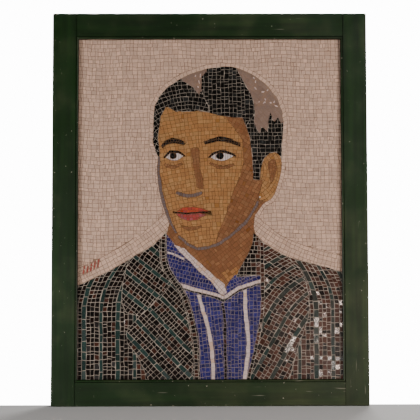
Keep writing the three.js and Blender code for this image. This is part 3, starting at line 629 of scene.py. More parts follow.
def lay(name, areas, material, sizes, joint, choose, strokes=None):
    """One piece of tesserae that stands for several areas of one finish."""
    dice = random.Random(name)
    whole = bmesh.new()
    for area, rows in areas.items():
        bm = area_mesh(AREA_PREFIX + area)
        cut_area(bm, rows, dice)
        if strokes and area in strokes:
            part_strokes(bm, strokes[area])
        tidy_cuts(bm, rows.course * rows.tile)
        open_joints(bm, joint)
        paint(bm, area, rows, dice, choose)
        set_tesserae(bm, sizes, joint, dice)
        add_part(whole, bm)
    piece = stand_piece(name, whole, material)
    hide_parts(*[AREA_PREFIX + area for area in areas])


def add_part(whole, bm):
    """Adds one area's mesh to the whole piece's."""
    part = bpy.data.meshes.new("part")
    bm.to_mesh(part)
    bm.free()
    whole.from_mesh(part)
    bpy.data.meshes.remove(part)


def stand_piece(name, whole, material):
    """Stands the mesh of a piece upright and makes it an object that goes with the fixed parts."""
    to_points(whole)
    bmesh.ops.transform(whole, matrix=STAND_UP, verts=whole.verts[:])
    mesh = bpy.data.meshes.new(name)
    whole.to_mesh(mesh)
    whole.free()
    mesh.materials.append(material)
    piece = bpy.data.objects.new(name, mesh)
    bpy.context.scene.collection.objects.link(piece)
    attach(piece, BODY)
    return piece


def number_layers(bm):
    return [bm.faces.layers.float.new(word) for word in NUMBERS]


def paint(bm, area, rows, dice, choose):
    """Gives each tessera its share of the second colour and of the accent, and its own tone."""
    layers = number_layers(bm)
    row_of = bm.faces.layers.int["row"]
    mark = bm.faces.layers.int.get("mark")
    for face in bm.faces:
        centre = (face.calc_center_median().to_2d() - CHIN) / HEAD_HEIGHT
        second, accent = choose(area, rows, face[row_of], centre, dice)
        if mark and face[mark]:
            accent = 1.0
        for layer, value in zip(layers, (second, accent, dice.random())):
            face[layer] = value


def to_points(bm):
    """Copies the faces' numbers to their points, where materials read them."""
    for word in NUMBERS:
        faces = bm.faces.layers.float[word]
        points = bm.verts.layers.float.new(word + "_at_point")
        for face in bm.faces:
            for vert in face.verts:
                vert[points] = face[faces]


# Materials

NOISE_SPAN = (0.3, 0.7)  # the values between which noise mostly lies
PATCH_SPAN = (0.35, 0.65)
UPRIGHT_GRAIN = (1.0, 1.0, 0.06)  # how noise is squeezed, to run along the grain
LEVEL_GRAIN = (0.06, 1.0, 1.0)
DARK_GLASS = {"spread": 0.3, "roughness": (0.13, 0.26)}
SMOOTH_GLASS = 0.07  # roughness of the few smooth tesserae, and how much more they mirror than others
SMOOTH_SPECULAR = 0.7
ARRIS_REACH = 0.007  # how far from the frame's inner and outer edges its paint is worn
GROOVE_PLACE = 0.0058  # middle of the frame's groove, from the sight edge
GROOVE_REACH = 0.0009
CORNER_JOINT_REACH = 0.7 * GROOVE_REACH
SIGHT_REACH = 0.0014  # how far the painted shade reaches from the sight edge
# brightness of the bead's painted shade, and of the painted shade at the sight edge and the painted shade
# and dirt in the groove
BEAD_BRIGHTNESS = 0.9
SHADE_AND_DIRT_BRIGHTNESS = 0.12
PAINT_SHEEN = 0.36
CORNER_SPAN = (0.75, 1.35)  # x less z, between which wear grows towards the lower right corner
CORNER_WEAR = 0.3  # how much worn patches, chips and scratches gather at the corner and the edges
CORNER_SCRATCHES = 0.35
EDGE_WEAR = 0.12
EDGE_CHIPS = 0.06
WORN_SPAN = (0.5, 0.95)  # between which values wear, chips, specks and scratches come to show
CHIP_SPAN = (0.735, 0.75)
SPECK_SPAN = (0.80, 0.82)
SCRATCH_SPAN = (0.76, 0.84)
SCRATCH_STRENGTH = 0.4
BARE_SPAN = (-0.0004, 0.0002)  # y between which the paint ends at the back, and how far that wavers
BARE_WAVER = 0.004


class Look:
    """A new material and short ways to add to its nodes. Values are numbers, colours or sockets."""

    def __init__(self, name):
        self.material = bpy.data.materials.new(name)
        self.material.use_nodes = True
        self.nodes = self.material.node_tree.nodes
        self.inputs = self.nodes["Principled BSDF"].inputs

    def feed(self, socket, value):
        """Links a socket to another one, or sets its own number or colour."""
        if isinstance(value, bpy.types.NodeSocket):
            self.material.node_tree.links.new(value, socket)
        elif isinstance(value, (int, float)):
            socket.default_value = value
        else:
            socket.default_value = (*value, 1)

    def give(self, **values):
        """Feeds the shader, with low lines for the spaces of its words."""
        for word, value in values.items():
            self.feed(self.inputs[word.replace("_", " ")], value)

    def number(self, word):
        """A number that each tessera carries."""
        node = self.nodes.new("ShaderNodeAttribute")
        node.attribute_name = word + "_at_point"
        return node.outputs["Fac"]

    def mixed(self, share, first, second):
        """A mix of two colours."""
        node = self.nodes.new("ShaderNodeMix")
        node.data_type = "RGBA"
        self.feed(node.inputs["Factor"], share)
        self.feed(node.inputs[6], first)
        self.feed(node.inputs[7], second)
        return node.outputs[2]

    def ranged(self, value, low, high, to_low=0.0, to_high=1.0):
        """A value brought from one range to another and kept inside it."""
        node = self.nodes.new("ShaderNodeMapRange")
        for socket, number in zip(node.inputs, (value, low, high, to_low, to_high)):
            self.feed(socket, number)
        return node.outputs["Result"]

    def reckon(self, operation, *values):
        """A sum, product or comparison."""
        node = self.nodes.new("ShaderNodeMath")
        node.operation = operation
        for socket, value in zip(node.inputs, values):
            self.feed(socket, value)
        return node.outputs["Value"]

    def noise(self, scale, detail=2.0, stretch=None):
        """Noise in the object's own coordinates."""
        place = self.nodes.new("ShaderNodeTexCoord").outputs["Object"]
        if stretch:
            mapping = self.nodes.new("ShaderNodeMapping")
            mapping.inputs["Scale"].default_value = stretch
            self.feed(mapping.inputs["Vector"], place)
            place = mapping.outputs["Vector"]
        node = self.nodes.new("ShaderNodeTexNoise")
        for word, value in (("Vector", place), ("Scale", scale), ("Detail", detail)):
            self.feed(node.inputs[word], value)
        return node.outputs["Fac"]

    def clouds(self, low, high, **noise):
        """Noise spread from one value to another."""
        return self.ranged(self.noise(**noise), *NOISE_SPAN, low, high)

    def brightened(self, colour_socket, value):
        node = self.nodes.new("ShaderNodeHueSaturation")
        self.feed(node.inputs["Color"], colour_socket)
        self.feed(node.inputs["Value"], value)
        return node.outputs["Color"]

    def roughened(self, height, distance, strength):
        """Bumps in the surface."""
        node = self.nodes.new("ShaderNodeBump")
        for word, value in (("Strength", strength), ("Distance", distance), ("Height", height)):
            self.feed(node.inputs[word], value)
        self.give(Normal=node.outputs["Normal"])


def glass(name, first, second, accent=None, spread=0.16, roughness=(0.25, 0.45), smooth=0.02, specular=0.4):
    """Glass paste: two colours, an accent, a tone for each tessera, streaks and a share of smooth ones."""
    look = Look(name)
    tint = look.mixed(look.number("second"), first, second)
    if accent:
        tint = look.mixed(look.number("accent"), tint, accent)
    tone = look.ranged(look.number("tone"), 0, 1, 1 - spread, 1 + spread)
    streaks = look.clouds(0.9, 1.1, scale=420, detail=3)
    patches = look.clouds(*roughness, scale=130)
    is_smooth = look.reckon("COMPARE", look.number("tone"), 0.5, smooth / 2)
    is_dull = look.reckon("SUBTRACT", 1.0, is_smooth)
    look.give(
        Base_Color=look.brightened(tint, look.reckon("MULTIPLY", tone, streaks)),
        Roughness=look.reckon("MULTIPLY_ADD", patches, is_dull, SMOOTH_GLASS),
        Specular_IOR_Level=look.reckon("MULTIPLY_ADD", is_smooth, SMOOTH_SPECULAR, specular),
    )
    look.roughened(look.noise(scale=380), distance=0.00045, strength=0.35)
    return look.material


def make_mortar_material(colours):
    """Mortar in four tints, by area."""
    look = Look("joint_mortar")
    tint = look.mixed(look.number("second"), colours.mortar_pale, colours.mortar_ground)
    tint = look.mixed(look.number("accent"), tint, colours.mortar_skin)
    tint = look.mixed(look.number("tone"), tint, colours.mortar_shirt)
    grains = look.clouds(0.8, 1.15, scale=900, detail=4)
    patches = look.clouds(0.82, 1.12, scale=22, detail=3)
    tint = look.brightened(tint, look.reckon("MULTIPLY", grains, patches))
    look.give(Base_Color=tint, Roughness=0.92, Specular_IOR_Level=0.25)
    look.roughened(look.noise(scale=700, detail=3), distance=0.0008, strength=0.5)
    return look.material


def frame_distances(look, place):
    """How far a point of the frame is beyond the sight edge: across, up or down, and the larger."""
    across = look.reckon("ABSOLUTE", place["X"])
    across = look.reckon("SUBTRACT", across, PICTURE_WIDTH / 2)
    up = look.reckon("SUBTRACT", place["Z"], (SIGHT_FOOT + SIGHT_TOP) / 2)
    up = look.reckon("ABSOLUTE", up)
    up = look.reckon("SUBTRACT", up, PICTURE_HEIGHT / 2)
    return across, up, look.reckon("MAXIMUM", across, up)


def arris_wear(look, place, inner):
    """How near a point of the frame is to its inner or outer edge, from 0 to 1."""
    outer = look.reckon("SUBTRACT", MEMBER_WIDTH, inner)
    depth = look.reckon("SUBTRACT", place["Y"], CAD_BOX[0][1])
    outer = look.reckon("MAXIMUM", outer, depth)
    nearest = look.reckon("MINIMUM", inner, outer)
    return look.ranged(nearest, 0.0, ARRIS_REACH, 1.0, 0.0)


def painted_shade_and_dirt(look, across, up, inner):
    """How bright the paint is left by painted shade on the bead and sight edge, painted shade and dirt in
    its groove, and the corners' dark joints.
    """
    # Painted shade: the bead, which faces the picture, is a little darker, and the sight edge much darker
    bead = look.ranged(inner, GROOVE_PLACE - GROOVE_REACH, GROOVE_PLACE, BEAD_BRIGHTNESS, 1.0)
    sight = look.ranged(inner, 0.0, SIGHT_REACH, SHADE_AND_DIRT_BRIGHTNESS, 1.0)
    bead = look.reckon("MULTIPLY", bead, sight)
    # Painted shade and dirt darken the groove; the corners' joints are dark joints
    groove = look.reckon("COMPARE", inner, GROOVE_PLACE, GROOVE_REACH)
    joint = look.reckon("COMPARE", across, GROOVE_PLACE, CORNER_JOINT_REACH)
    joint = look.reckon("MULTIPLY", joint, look.reckon("GREATER_THAN", up, 0.0))
    dark = look.reckon("MAXIMUM", groove, joint)
    return look.reckon("MULTIPLY", bead, look.ranged(dark, 0, 1, 1.0, SHADE_AND_DIRT_BRIGHTNESS))


def make_paint_material(colours, stretch):
    """Old brushed paint: worn patches, scratches and chips, painted shade at the sight edge, and bare
    timber at the back.
    """
    look = Look("frame_paint")
    parted = look.nodes.new("ShaderNodeSeparateXYZ")
    look.feed(parted.inputs["Vector"], look.nodes.new("ShaderNodeTexCoord").outputs["Object"])
    place = parted.outputs
    across, up, inner = frame_distances(look, place)
    wear = arris_wear(look, place, inner)
    brushed = look.noise(scale=60, detail=4, stretch=stretch)
    patches = look.noise(scale=14, detail=5)
    corner = look.reckon("SUBTRACT", place["X"], place["Z"])
    corner = look.ranged(corner, *CORNER_SPAN, 0.0, CORNER_WEAR)
    handled = look.reckon("MULTIPLY_ADD", wear, EDGE_WEAR, patches)
    handled = look.reckon("ADD", handled, corner)
    tint = look.mixed(look.ranged(handled, *WORN_SPAN), colours.paint, colours.paint_worn)
    tint = look.brightened(tint, look.ranged(brushed, *NOISE_SPAN, to_low=0.6, to_high=1.4))
    chips = look.reckon("MULTIPLY_ADD", wear, EDGE_CHIPS, look.noise(scale=170, detail=5))
    chips = look.ranged(chips, *CHIP_SPAN)
    specks = look.ranged(look.noise(scale=620), *SPECK_SPAN)
    scratches = look.noise(scale=210, stretch=stretch)
    scratches = look.reckon("MULTIPLY_ADD", corner, CORNER_SCRATCHES, scratches)
    scratches = look.ranged(scratches, *SCRATCH_SPAN, 0.0, SCRATCH_STRENGTH)
    marks = look.reckon("MAXIMUM", chips, specks)
    marks = look.reckon("MAXIMUM", marks, scratches)
    tint = look.mixed(marks, tint, colours.undercoat)
    # Painted shade on the bead, sight edge and groove, with some dirt in the groove, darkens the paint and
    # lowers its sheen
    shade_and_dirt_brightness = painted_shade_and_dirt(look, across, up, inner)
    tint = look.brightened(tint, shade_and_dirt_brightness)
    depth = look.reckon("MULTIPLY_ADD", look.noise(scale=35, detail=3), BARE_WAVER, place["Y"])
    grain = look.clouds(0.0, 1.0, scale=30, detail=6, stretch=stretch)
    wood = look.mixed(grain, colours.timber, [channel * 0.6 for channel in colours.timber])
    wood = look.brightened(wood, look.ranged(patches, *NOISE_SPAN, to_low=0.85, to_high=1.1))
    look.give(
        Base_Color=look.mixed(look.ranged(depth, *BARE_SPAN), tint, wood),
        Roughness=look.ranged(patches, *PATCH_SPAN, to_low=0.38, to_high=0.5),
        Specular_IOR_Level=look.reckon("MULTIPLY", shade_and_dirt_brightness, PAINT_SHEEN),
    )
    look.roughened(brushed, distance=0.0008, strength=0.3)
    return look.material


def make_board_material(colours):
    """Plywood, its grain upright."""
    look = Look("board")
    grain = look.noise(scale=40, detail=6, stretch=UPRIGHT_GRAIN)
    pale = [channel * 1.35 for channel in colours.timber]
    tint = look.mixed(look.ranged(grain, *NOISE_SPAN), colours.timber, pale)
    look.give(Base_Color=tint, Roughness=0.8)
    look.roughened(grain, distance=0.0005, strength=0.3)
    return look.material


# Which tesserae take the second colour or the accent

RIGHT_SIDE = 0.2  # where the jacket turns browner, partly brown glass and partly painted glare, as a share of the head's height
NECK_LIGHT = (0.6, -0.17)  # slope and height of the line below which the neck is light
NECK_BLUR = 0.02


def some_second(dice, share, rest):
    """Wholly the second colour for a share of the tesserae, and at most a part of it for the rest."""
    return 1.0 if dice.random() < share else rest * dice.random()


def plain_choice(area, rows, row, centre, dice):
    return some_second(dice, share=0.3, rest=0.4), 0.0


def shade_choice(area, rows, row, centre, dice):
    """Lighter glass low on the neck."""
    slope, height = NECK_LIGHT
    if area == "neck" and centre.y + dice.gauss(0, NECK_BLUR) < slope * centre.x + height:
        return 1.0, 1.0
    return plain_choice(area, rows, row, centre, dice)


def cloth_choice(area, rows, row, centre, dice):
    """Stripes of teal every fourth row, and browner glass towards the right, partly as painted glare."""
    # Painted glare: the lighter brown glass on the right stands partly for glare there and partly for brown
    # glass
    brown, teal = (0.74, 0.75) if centre.x > RIGHT_SIDE else (0.1, 1.0)
    return some_second(dice, share=brown, rest=0.12), teal if is_stripe(rows, row) else 0.0


def hair_choice(area, rows, row, centre, dice):
    return some_second(dice, share=0.08, rest=0.3), 0.0


def ground_choice(area, rows, row, centre, dice):
    return dice.random(), 0.0


# Operators


def settings(context):
    return context.scene.mosaic_sizes, context.scene.mosaic_colours


class MOSAIC_OT_lay_ground(Operator):
    """Lay the pale ground in level rows, with bands that follow the head and the shoulders"""

    bl_idname = "mosaic.lay_ground"
    bl_label = "Lay Ground"

    def execute(self, context):
        sizes, colours = settings(context)
        course = sizes.ground_course
        band = {"ragged": 0.15, "loose": 0.2}
        areas = {
            "ground": StraightRows(0, course, tile=course * 1.06, ragged=0.22, loose=0.25, sway=0.0018),
            "ground_head": ArchedRows((0.0, 0.52), course, single=True, facing=90),
            "ground_left_shoulder": ArchedRows((-1.4695, 1.5535), course, **band),
            "ground_right_shoulder": ArchedRows((0.804, 0.855), course, **band),
        }
        strokes = []
        for left, foot, height in MARK_STROKES:
            start = MARK_CORNER + Vector((left, foot))
            strokes.append((start, start + Vector((MARK_LEAN, height)), MARK_WIDTH))
        tints = colours.ground, colours.ground_second, colours.mark
        finish = glass("ground_glass", *tints, spread=0.12, roughness=(0.4, 0.6))
        joint = sizes.ground_joint
        marks = dict.fromkeys(("ground", "ground_left_shoulder"), strokes)
        lay("ground_tesserae", areas, finish, sizes, joint, ground_choice, marks)
        return {"FINISHED"}


# Pale dashes in the highlights: how many, and the points of the figure between which they lie
CROWN_DASHES = (16, (0.20, 0.72), (0.33, 0.93))
FRONT_DASHES = (6, (-0.18, 0.86), (-0.08, 0.95))
DASH_LENGTH = 0.010
DASH_WIDTH = 0.0036


def pale_dashes(count, low, high):
    """Short strokes scattered between two corners, at any angle."""
    dice = random.Random(count)
    dashes = []
    for _ in range(count):
        foot = figure_point((dice.uniform(low[0], high[0]), dice.uniform(low[1], high[1])))
        dashes.append((foot, foot + direction(dice.uniform(0, 180)) * DASH_LENGTH, DASH_WIDTH))
    return dashes


class MOSAIC_OT_lay_hair(Operator):
    """Lay the black hair and its mauve-grey highlights"""

    bl_idname = "mosaic.lay_hair"
    bl_label = "Lay Hair"

    def execute(self, context):
        sizes, colours = settings(context)
        course = sizes.hair_course
        areas = {
            "side_hair": StraightRows(0, course, ragged=0.16, loose=0.3),
            "front_hair": ArchedRows((-0.16, 0.46), course, ragged=0.18, loose=0.5),
            "top_hair": StraightRows(90, course, ragged=0.2, loose=0.3, sway=0.0008),
        }
        finish = glass("hair_glass", colours.hair, colours.hair_second, specular=0.2, **DARK_GLASS)
        lay("hair_tesserae", areas, finish, sizes, sizes.hair_joint, hair_choice)
        areas = {
            "crown_highlight": ArchedRows((-0.1, 0.45), course, ragged=0.2),
            "front_highlight": ArchedRows((0.0, 0.5), course, ragged=0.2),
        }
        tints = colours.highlight, colours.highlight, colours.shirt_white
        finish = glass("highlight_glass", *tints, spread=0.08)
        joint = sizes.skin_joint
        crown, front = pale_dashes(*CROWN_DASHES), pale_dashes(*FRONT_DASHES)
        dashes = {"crown_highlight": crown, "front_highlight": front}
        lay("highlight_tesserae", areas, finish, sizes, joint, plain_choice, dashes)
        return {"FINISHED"}


class MOSAIC_OT_lay_face(Operator):
    """Lay the face, ear and neck with their shades and lines"""

    bl_idname = "mosaic.lay_face"
    bl_label = "Lay Face"

    def execute(self, context):
        sizes, colours = settings(context)
        course, small, joint = sizes.skin_course, sizes.small_course, sizes.skin_joint
        uneven = {"ragged": 0.16, "loose": 0.3}
        skin = {
            "face": ArchedRows((0.02, -0.75), course, ragged=0.14, loose=0.15, sway=0.0008),
            "ear": ArchedRows((0.16, 0.42), course * 0.9, ragged=0.14, loose=0.3),
        }
        finish = glass("skin_glass", colours.skin, colours.skin_second, spread=0.11, roughness=(0.3, 0.5))
        lay("skin_tesserae", skin, finish, sizes, joint, plain_choice)
        shade = {
            "near_cheek_shade": StraightRows(62, course, **uneven),
            "nose_side": StraightRows(94, small * 1.2),
            "chin_shade": StraightRows(0, small),
            "far_eye_shade": StraightRows(0, small),
            "near_eye_shade": StraightRows(0, small),
            "ear_hollow": StraightRows(80, small),
            "neck": StraightRows(38, course, **uneven),
        }
        tints = colours.shade, colours.shade_second, colours.skin
        finish = glass("shade_glass", *tints, spread=0.12, roughness=(0.3, 0.5))
        lay("shade_tesserae", shade, finish, sizes, joint, shade_choice)
        contour = {
            "nose_base": StraightRows(0, small * 1.1, single=True),
            "far_cheek_contour": ArchedRows((0.35, 0.45), small * 1.2, single=True),
            "jaw_contour": ArchedRows((-0.12, 0.42), small * 1.2, single=True),
        }
        finish = glass("contour_glass", colours.contour, colours.contour, spread=0.1)
        lay("contour_tesserae", contour, finish, sizes, joint, hair_choice)
        dark = {
            "brow_far": ArchedRows((-0.24, 0.3), small * 1.05, ragged=0.2),
            "brow_near": ArchedRows((0.02, 0.3), small * 1.05, ragged=0.2),
            "upper_lid_far": ArchedRows((-0.24, 0.4), small, single=True),
            "upper_lid_near": ArchedRows((0.02, 0.4), small, single=True),
            "iris_far": StraightRows(0, 2 * small, single=True),
            "iris_near": StraightRows(0, 2 * small, single=True),
            "mouth_line": StraightRows(0, small * 1.2, single=True),
        }
        finish = glass("line_glass", colours.hair, colours.hair_second, **DARK_GLASS)
        lay("line_tesserae", dark, finish, sizes, joint, hair_choice)
        white = {
            "eye_far": StraightRows(0, 2 * small, tile=small, single=True),
            "eye_near": StraightRows(0, 2 * small, tile=small, single=True),
        }
        finish = glass("eye_glass", colours.eye_white, colours.eye_white, spread=0.05)
        lay("eye_tesserae", white, finish, sizes, joint, hair_choice)
        upper = {"upper_lip": StraightRows(0, small * 1.3)}
        finish = glass("upper_lip_glass", colours.lip_upper, colours.lip_lower, spread=0.12)
        lay("upper_lip_tesserae", upper, finish, sizes, joint, plain_choice)
        lower = {"lower_lip": ArchedRows((-0.14, 0.5), small * 1.2)}
        finish = glass("lower_lip_glass", colours.lip_lower, colours.lip_second, spread=0.12)
        lay("lower_lip_tesserae", lower, finish, sizes, joint, plain_choice)
        return {"FINISHED"}


class MOSAIC_OT_lay_shirt(Operator):
    """Lay the blue shirt, its white stripes and the edges of its collar"""

    bl_idname = "mosaic.lay_shirt"
    bl_label = "Lay Shirt"

    def execute(self, context):
        sizes, colours = settings(context)
        course, small = sizes.shirt_course, sizes.small_course
        side = {"tile": course * 0.95, "ragged": 0.18, "loose": 0.3}
        front = {**side, "tile": course}
        blue = {
            "shirt_left_side": StraightRows(96, course, **side),
            "shirt_right_side": StraightRows(90, course, **side),
            "shirt_front_left": StraightRows(96, course * 0.85, **front),
            "shirt_front_right": StraightRows(90, course * 0.85, **front),
            "left_collar_leaf": StraightRows(-14, course, tile=course * 0.8, ragged=0.18),
            "right_collar_leaf": StraightRows(24, course * 0.9, tile=course * 0.8, ragged=0.18),
        }
        line = [figure_point(share) for share in COLLAR_STRIPE]
        strokes = [(start, end, COLLAR_STRIPE_WIDTH) for start, end in zip(line, line[1:])]
        stripe = {"left_collar_leaf": strokes}
        tints = colours.shirt, colours.shirt_second, colours.shirt_white
        finish = glass("shirt_glass", *tints, spread=0.25, roughness=(0.13, 0.28))
        joint = sizes.shirt_joint
        lay("shirt_tesserae", blue, finish, sizes, joint, plain_choice, stripe)
        white = {
            "piping_left": StraightRows(-46, course * 0.9),
            "piping_right": StraightRows(22, course, single=True),
            "collar_fold": StraightRows(-16, course, single=True),
            "left_stripe": StraightRows(98, course, single=True),
            "right_stripe": StraightRows(92, course, single=True),
        }
        finish = glass("white_glass", colours.shirt_white, colours.ground, spread=0.06)
        lay("white_tesserae", white, finish, sizes, sizes.skin_joint, hair_choice)
        dark = {"collar_shadow": StraightRows(0, small * 1.5, single=True)}
        finish = glass("shadow_glass", colours.hair, colours.hair_second, spread=0.3)
        lay("shadow_tesserae", dark, finish, sizes, sizes.skin_joint, hair_choice)
        return {"FINISHED"}


# The jacket's edges on the shirt, as points of the figure
LEFT_EDGE = (
    (-0.3, 0.12), (-0.303, 0), (-0.3, -0.07), (-0.274, -0.14), (-0.2, -0.24), (-0.154, -0.374),
    (-0.131, -0.505), (-0.122, -0.705), (-0.12, -1),
)
RIGHT_EDGE = (
    (0.234, 0.12), (0.235, -0.2), (0.235, -0.31), (0.218, -0.448), (0.189, -0.579), (0.154, -0.72),
    (0.12, -1),
)


class MOSAIC_OT_lay_jacket(Operator):
    """Lay the dark striped jacket"""

    bl_idname = "mosaic.lay_jacket"
    bl_label = "Lay Jacket"

    def execute(self, context):
        sizes, colours = settings(context)
        course = sizes.cloth_course
        areas = {
            "left_edge": StrokeRows(LEFT_EDGE, course * 0.85),
            "right_edge": StrokeRows(RIGHT_EDGE, course, single=True),
            "placket": StraightRows(90, course, single=True),
            "left_collar": StraightRows(-38, course, loose=0.06, stripes=2),
            "left_lapel": StraightRows(-46, course, loose=0.06, stripes=2),
            "right_collar": StraightRows(0, course, loose=0.2),
            "right_lapel": BowedRows(60, course, -0.15, 0.29, -0.1, loose=0.2, ragged=0.17, stripes=2),
            "left_sleeve": BowedRows(90, course, -0.34, 0.3, -0.14, loose=0.14, ragged=0.14, stripes=0),
            "right_sleeve": BowedRows(90, course, -0.34, 0.3, 0.12, loose=0.2, ragged=0.17, stripes=1),
        }
        tints = colours.cloth, colours.cloth_second, colours.stripe
        surface = {"spread": 0.3, "roughness": (0.12, 0.24), "smooth": 0.12, "specular": 0.24}
        finish = glass("cloth_glass", *tints, **surface)
        lay("jacket_tesserae", areas, finish, sizes, sizes.cloth_joint, cloth_choice)
        return {"FINISHED"}


# Numbers for each tint of mortar, and how the names of its areas begin. The first that fits counts.
MORTAR_PALE, MORTAR_GROUND, MORTAR_SKIN, MORTAR_SHIRT = (0, 0, 0), (1, 0, 0), (0, 1, 0), (0, 0, 1)
MORTAR_TINTS = (
    (MORTAR_GROUND, ("ground",)),
    (MORTAR_SHIRT, ("shirt", "placket", "left_collar_leaf", "right_collar_leaf")),
    (MORTAR_PALE, ("left_", "right_", "side_", "front_hair", "top_", "collar_shadow")),
    (MORTAR_GROUND, ("crown", "front_highlight", "piping", "collar")),
    (MORTAR_SKIN, ("",)),
)


class MOSAIC_OT_fill_joints(Operator):
    """Fill the joints with mortar to just below the faces"""

    bl_idname = "mosaic.fill_joints"
    bl_label = "Fill Joints"

    def execute(self, context):
        sizes, colours = settings(context)
        level = FACE_LEVEL - sizes.joint_depth
        whole = bmesh.new()
        for node in sorted(name for name in frame["nodes"] if name.startswith(AREA_PREFIX)):
            area = node.removeprefix(AREA_PREFIX)
            tint = next(numbers for numbers, starts in MORTAR_TINTS if area.startswith(starts))
            bm = area_mesh(node)
            layers = number_layers(bm)
            for face in bm.faces:
                for layer, value in zip(layers, tint):
                    face[layer] = value
            for vert in bm.verts:
                vert.co.z = level
            bmesh.ops.solidify(bm, geom=bm.faces[:], thickness=level - TESSERA_BACK)
            add_part(whole, bm)
        mortar = make_mortar_material(colours)
        stand_piece("joint_mortar", whole, mortar)
        frame["nodes"]["mortar_bed"].data.materials[0] = mortar
        return {"FINISHED"}


class MOSAIC_OT_finish_frame(Operator):
    """Paint the four members of the frame and finish the board behind"""

    bl_idname = "mosaic.finish_frame"
    bl_label = "Finish Frame"

    def execute(self, context):
        _, colours = settings(context)
        upright = make_paint_material(colours, UPRIGHT_GRAIN)
        level = make_paint_material(colours, LEVEL_GRAIN)
        finishes = {
            "frame_left_stile": upright,
            "frame_right_stile": upright,
            "frame_top_rail": level,
            "frame_bottom_rail": level,
            "backing_board": make_board_material(colours),
        }
        for node, material in finishes.items():
            frame["nodes"][node].data.materials[0] = material
        return {"FINISHED"}


# The studio
FLOOR_REACH = (3, 1.6)  # half the floor's width and depth
FLOOR_BEHIND = 0.002
FLOOR_GAP = 0.0005
BACKDROP = ((1, 1, 1, 1), 14)  # colour and strength, for the camera alone
FAINT_LIGHT = ((0.9, 0.95, 1.0, 1), 0.07)  # the same for everything else

# Lights: place, the point that each faces, width and height, power, tint
LIGHTS = {
    "key_light": ((2.1, -2.0, 0.75), (0, -0.02, PANEL_MIDDLE), (0.8, 0.8), 40, (1.0, 0.96, 0.92)),
    "left_light": ((-1.6, -1.0, -0.85), (-0.2, 0, -0.85), (0.5, 0.25), 26, (1.0, 0.96, 0.93)),
    "right_light": ((1.5, -1.0, -0.85), (0.2, 0, -0.85), (0.5, 0.25), 13, (1.0, 0.9, 0.83)),
    "glare_light": ((0.53, -2.2, -0.93), (0.3, 0, -0.8), (0.15, 0.06), 1.95, (1.0, 0.78, 0.67)),
    "spark_light": ((0.36, -0.6, -0.93), (0.3, 0, -0.9), (0.03, 0.02), 0.07, (1.0, 0.9, 0.84)),
    "back_light": ((0.9, 2.6, 0.3), (0, 0, -0.5), (1.2, 1.2), 60, (1.0, 0.97, 0.94)),
}

# The camera, as far as the photograph tells: angles, distance, lens in millimetres, shift in pixels
ELEVATION = math.radians(-2.97)
AZIMUTH = math.radians(-0.313)
ROLL = math.radians(-0.107)
CAMERA_DISTANCE = 2.5
SENSOR_WIDTH = 36
LENS = 84.35
SHIFT_ACROSS = 0.07
SHIFT_UP = -2.24
PHOTO_WIDTH = 420


def lay_floor(colours):
    """The floor, from just behind the panel forwards."""
    low, high = CAD_BOX
    bm = bmesh.new()
    bmesh.ops.create_grid(bm, x_segments=1, y_segments=1, size=1)
    bmesh.ops.scale(bm, vec=(*FLOOR_REACH, 1), verts=bm.verts[:])
    place = (0, high[1] - FLOOR_REACH[1] + FLOOR_BEHIND, low[2] - FLOOR_GAP)
    bmesh.ops.translate(bm, vec=place, verts=bm.verts[:])
    mesh = bpy.data.meshes.new("studio_floor")
    bm.to_mesh(mesh)
    bm.free()
    look = Look("studio_floor")
    look.give(Base_Color=colours.floor, Roughness=0.9)
    mesh.materials.append(look.material)
    floor = bpy.data.objects.new("studio_floor", mesh)
    bpy.context.scene.collection.objects.link(floor)


def area_light(name, place, target, size, power, tint):
    """A soft light that faces a point."""
    light = bpy.data.lights.new(name, "AREA")
    light.shape = "RECTANGLE"
    light.size, light.size_y = size
    light.energy = power
    light.color = tint
    lamp = bpy.data.objects.new(name, light)
    lamp.location = place
    lamp.rotation_euler = (Vector(target) - Vector(place)).to_track_quat("-Z", "Y").to_euler()
    bpy.context.scene.collection.objects.link(lamp)


def make_world():
    """A bright backdrop that only the camera sees, and a faint even light."""
    world = bpy.data.worlds.new("studio")
    bpy.context.scene.world = world
    world.use_nodes = True
    nodes, links = world.node_tree.nodes, world.node_tree.links
    choice = nodes.new("ShaderNodeMixShader")
    links.new(nodes.new("ShaderNodeLightPath").outputs["Is Camera Ray"], choice.inputs["Fac"])
    lit, seen = nodes["Background"], nodes.new("ShaderNodeBackground")
    for i, (node, (tint, strength)) in enumerate(((lit, FAINT_LIGHT), (seen, BACKDROP))):
        node.inputs["Color"].default_value = tint
        node.inputs["Strength"].default_value = strength
        links.new(node.outputs["Background"], choice.inputs[i + 1])
    links.new(choice.outputs["Shader"], nodes["World Output"].inputs["Surface"])


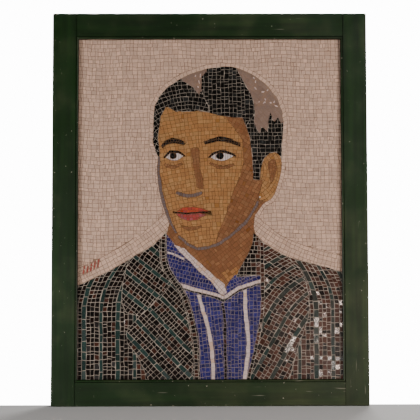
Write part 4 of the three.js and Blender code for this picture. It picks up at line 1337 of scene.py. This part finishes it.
def set_camera():
    """The camera where the photograph was taken from."""
    camera = bpy.data.cameras.new("camera")
    camera.sensor_width = SENSOR_WIDTH
    camera.lens = LENS
    camera.shift_x = SHIFT_ACROSS / PHOTO_WIDTH
    camera.shift_y = SHIFT_UP / PHOTO_WIDTH
    holder = bpy.data.objects.new("camera", camera)
    level = math.cos(ELEVATION)
    back = Vector((math.sin(AZIMUTH) * level, -math.cos(AZIMUTH) * level, math.sin(ELEVATION)))
    holder.location = Vector((0, CAD_BOX[0][1], PANEL_MIDDLE)) + back * CAMERA_DISTANCE
    aim = (-back).to_track_quat("-Z", "Y").to_matrix() @ Matrix.Rotation(ROLL, 3, "Z")
    holder.rotation_euler = aim.to_euler()
    bpy.context.scene.collection.objects.link(holder)
    bpy.context.scene.camera = holder


class MOSAIC_OT_set_studio(Operator):
    """Set the pale floor, the soft lights and the camera"""

    bl_idname = "mosaic.set_studio"
    bl_label = "Set Studio"

    def execute(self, context):
        _, colours = settings(context)
        lay_floor(colours)
        make_world()
        for name, light in LIGHTS.items():
            area_light(name, *light)
        set_camera()
        return {"FINISHED"}


OPERATORS = (
    MOSAIC_OT_lay_ground,
    MOSAIC_OT_lay_hair,
    MOSAIC_OT_lay_face,
    MOSAIC_OT_lay_shirt,
    MOSAIC_OT_lay_jacket,
    MOSAIC_OT_fill_joints,
    MOSAIC_OT_finish_frame,
    MOSAIC_OT_set_studio,
)


class MOSAIC_PT_panel(Panel):
    """The steps of making the panel, in order"""

    bl_idname = "MOSAIC_PT_panel"
    bl_label = "Framed Mosaic"
    bl_space_type = "VIEW_3D"
    bl_region_type = "UI"
    bl_category = "Mosaic"

    def draw(self, context):
        for operator in OPERATORS:
            self.layout.operator(operator.bl_idname)
        for group in (context.scene.mosaic_sizes, context.scene.mosaic_colours):
            column = self.layout.column(align=True)
            for word in group.__annotations__:
                column.prop(group, word)


CLASSES = (TesseraSizes, PanelColours, *OPERATORS, MOSAIC_PT_panel)


def register():
    for cls in CLASSES:
        bpy.utils.register_class(cls)
    bpy.types.Scene.mosaic_sizes = PointerProperty(type=TesseraSizes)
    bpy.types.Scene.mosaic_colours = PointerProperty(type=PanelColours)


def unregister():
    del bpy.types.Scene.mosaic_colours
    del bpy.types.Scene.mosaic_sizes
    for cls in reversed(CLASSES):
        bpy.utils.unregister_class(cls)


def main():
    register()
    for operator in OPERATORS:
        group, name = operator.bl_idname.split(".")
        getattr(getattr(bpy.ops, group), name)()


if __name__ == "__main__":
    main()
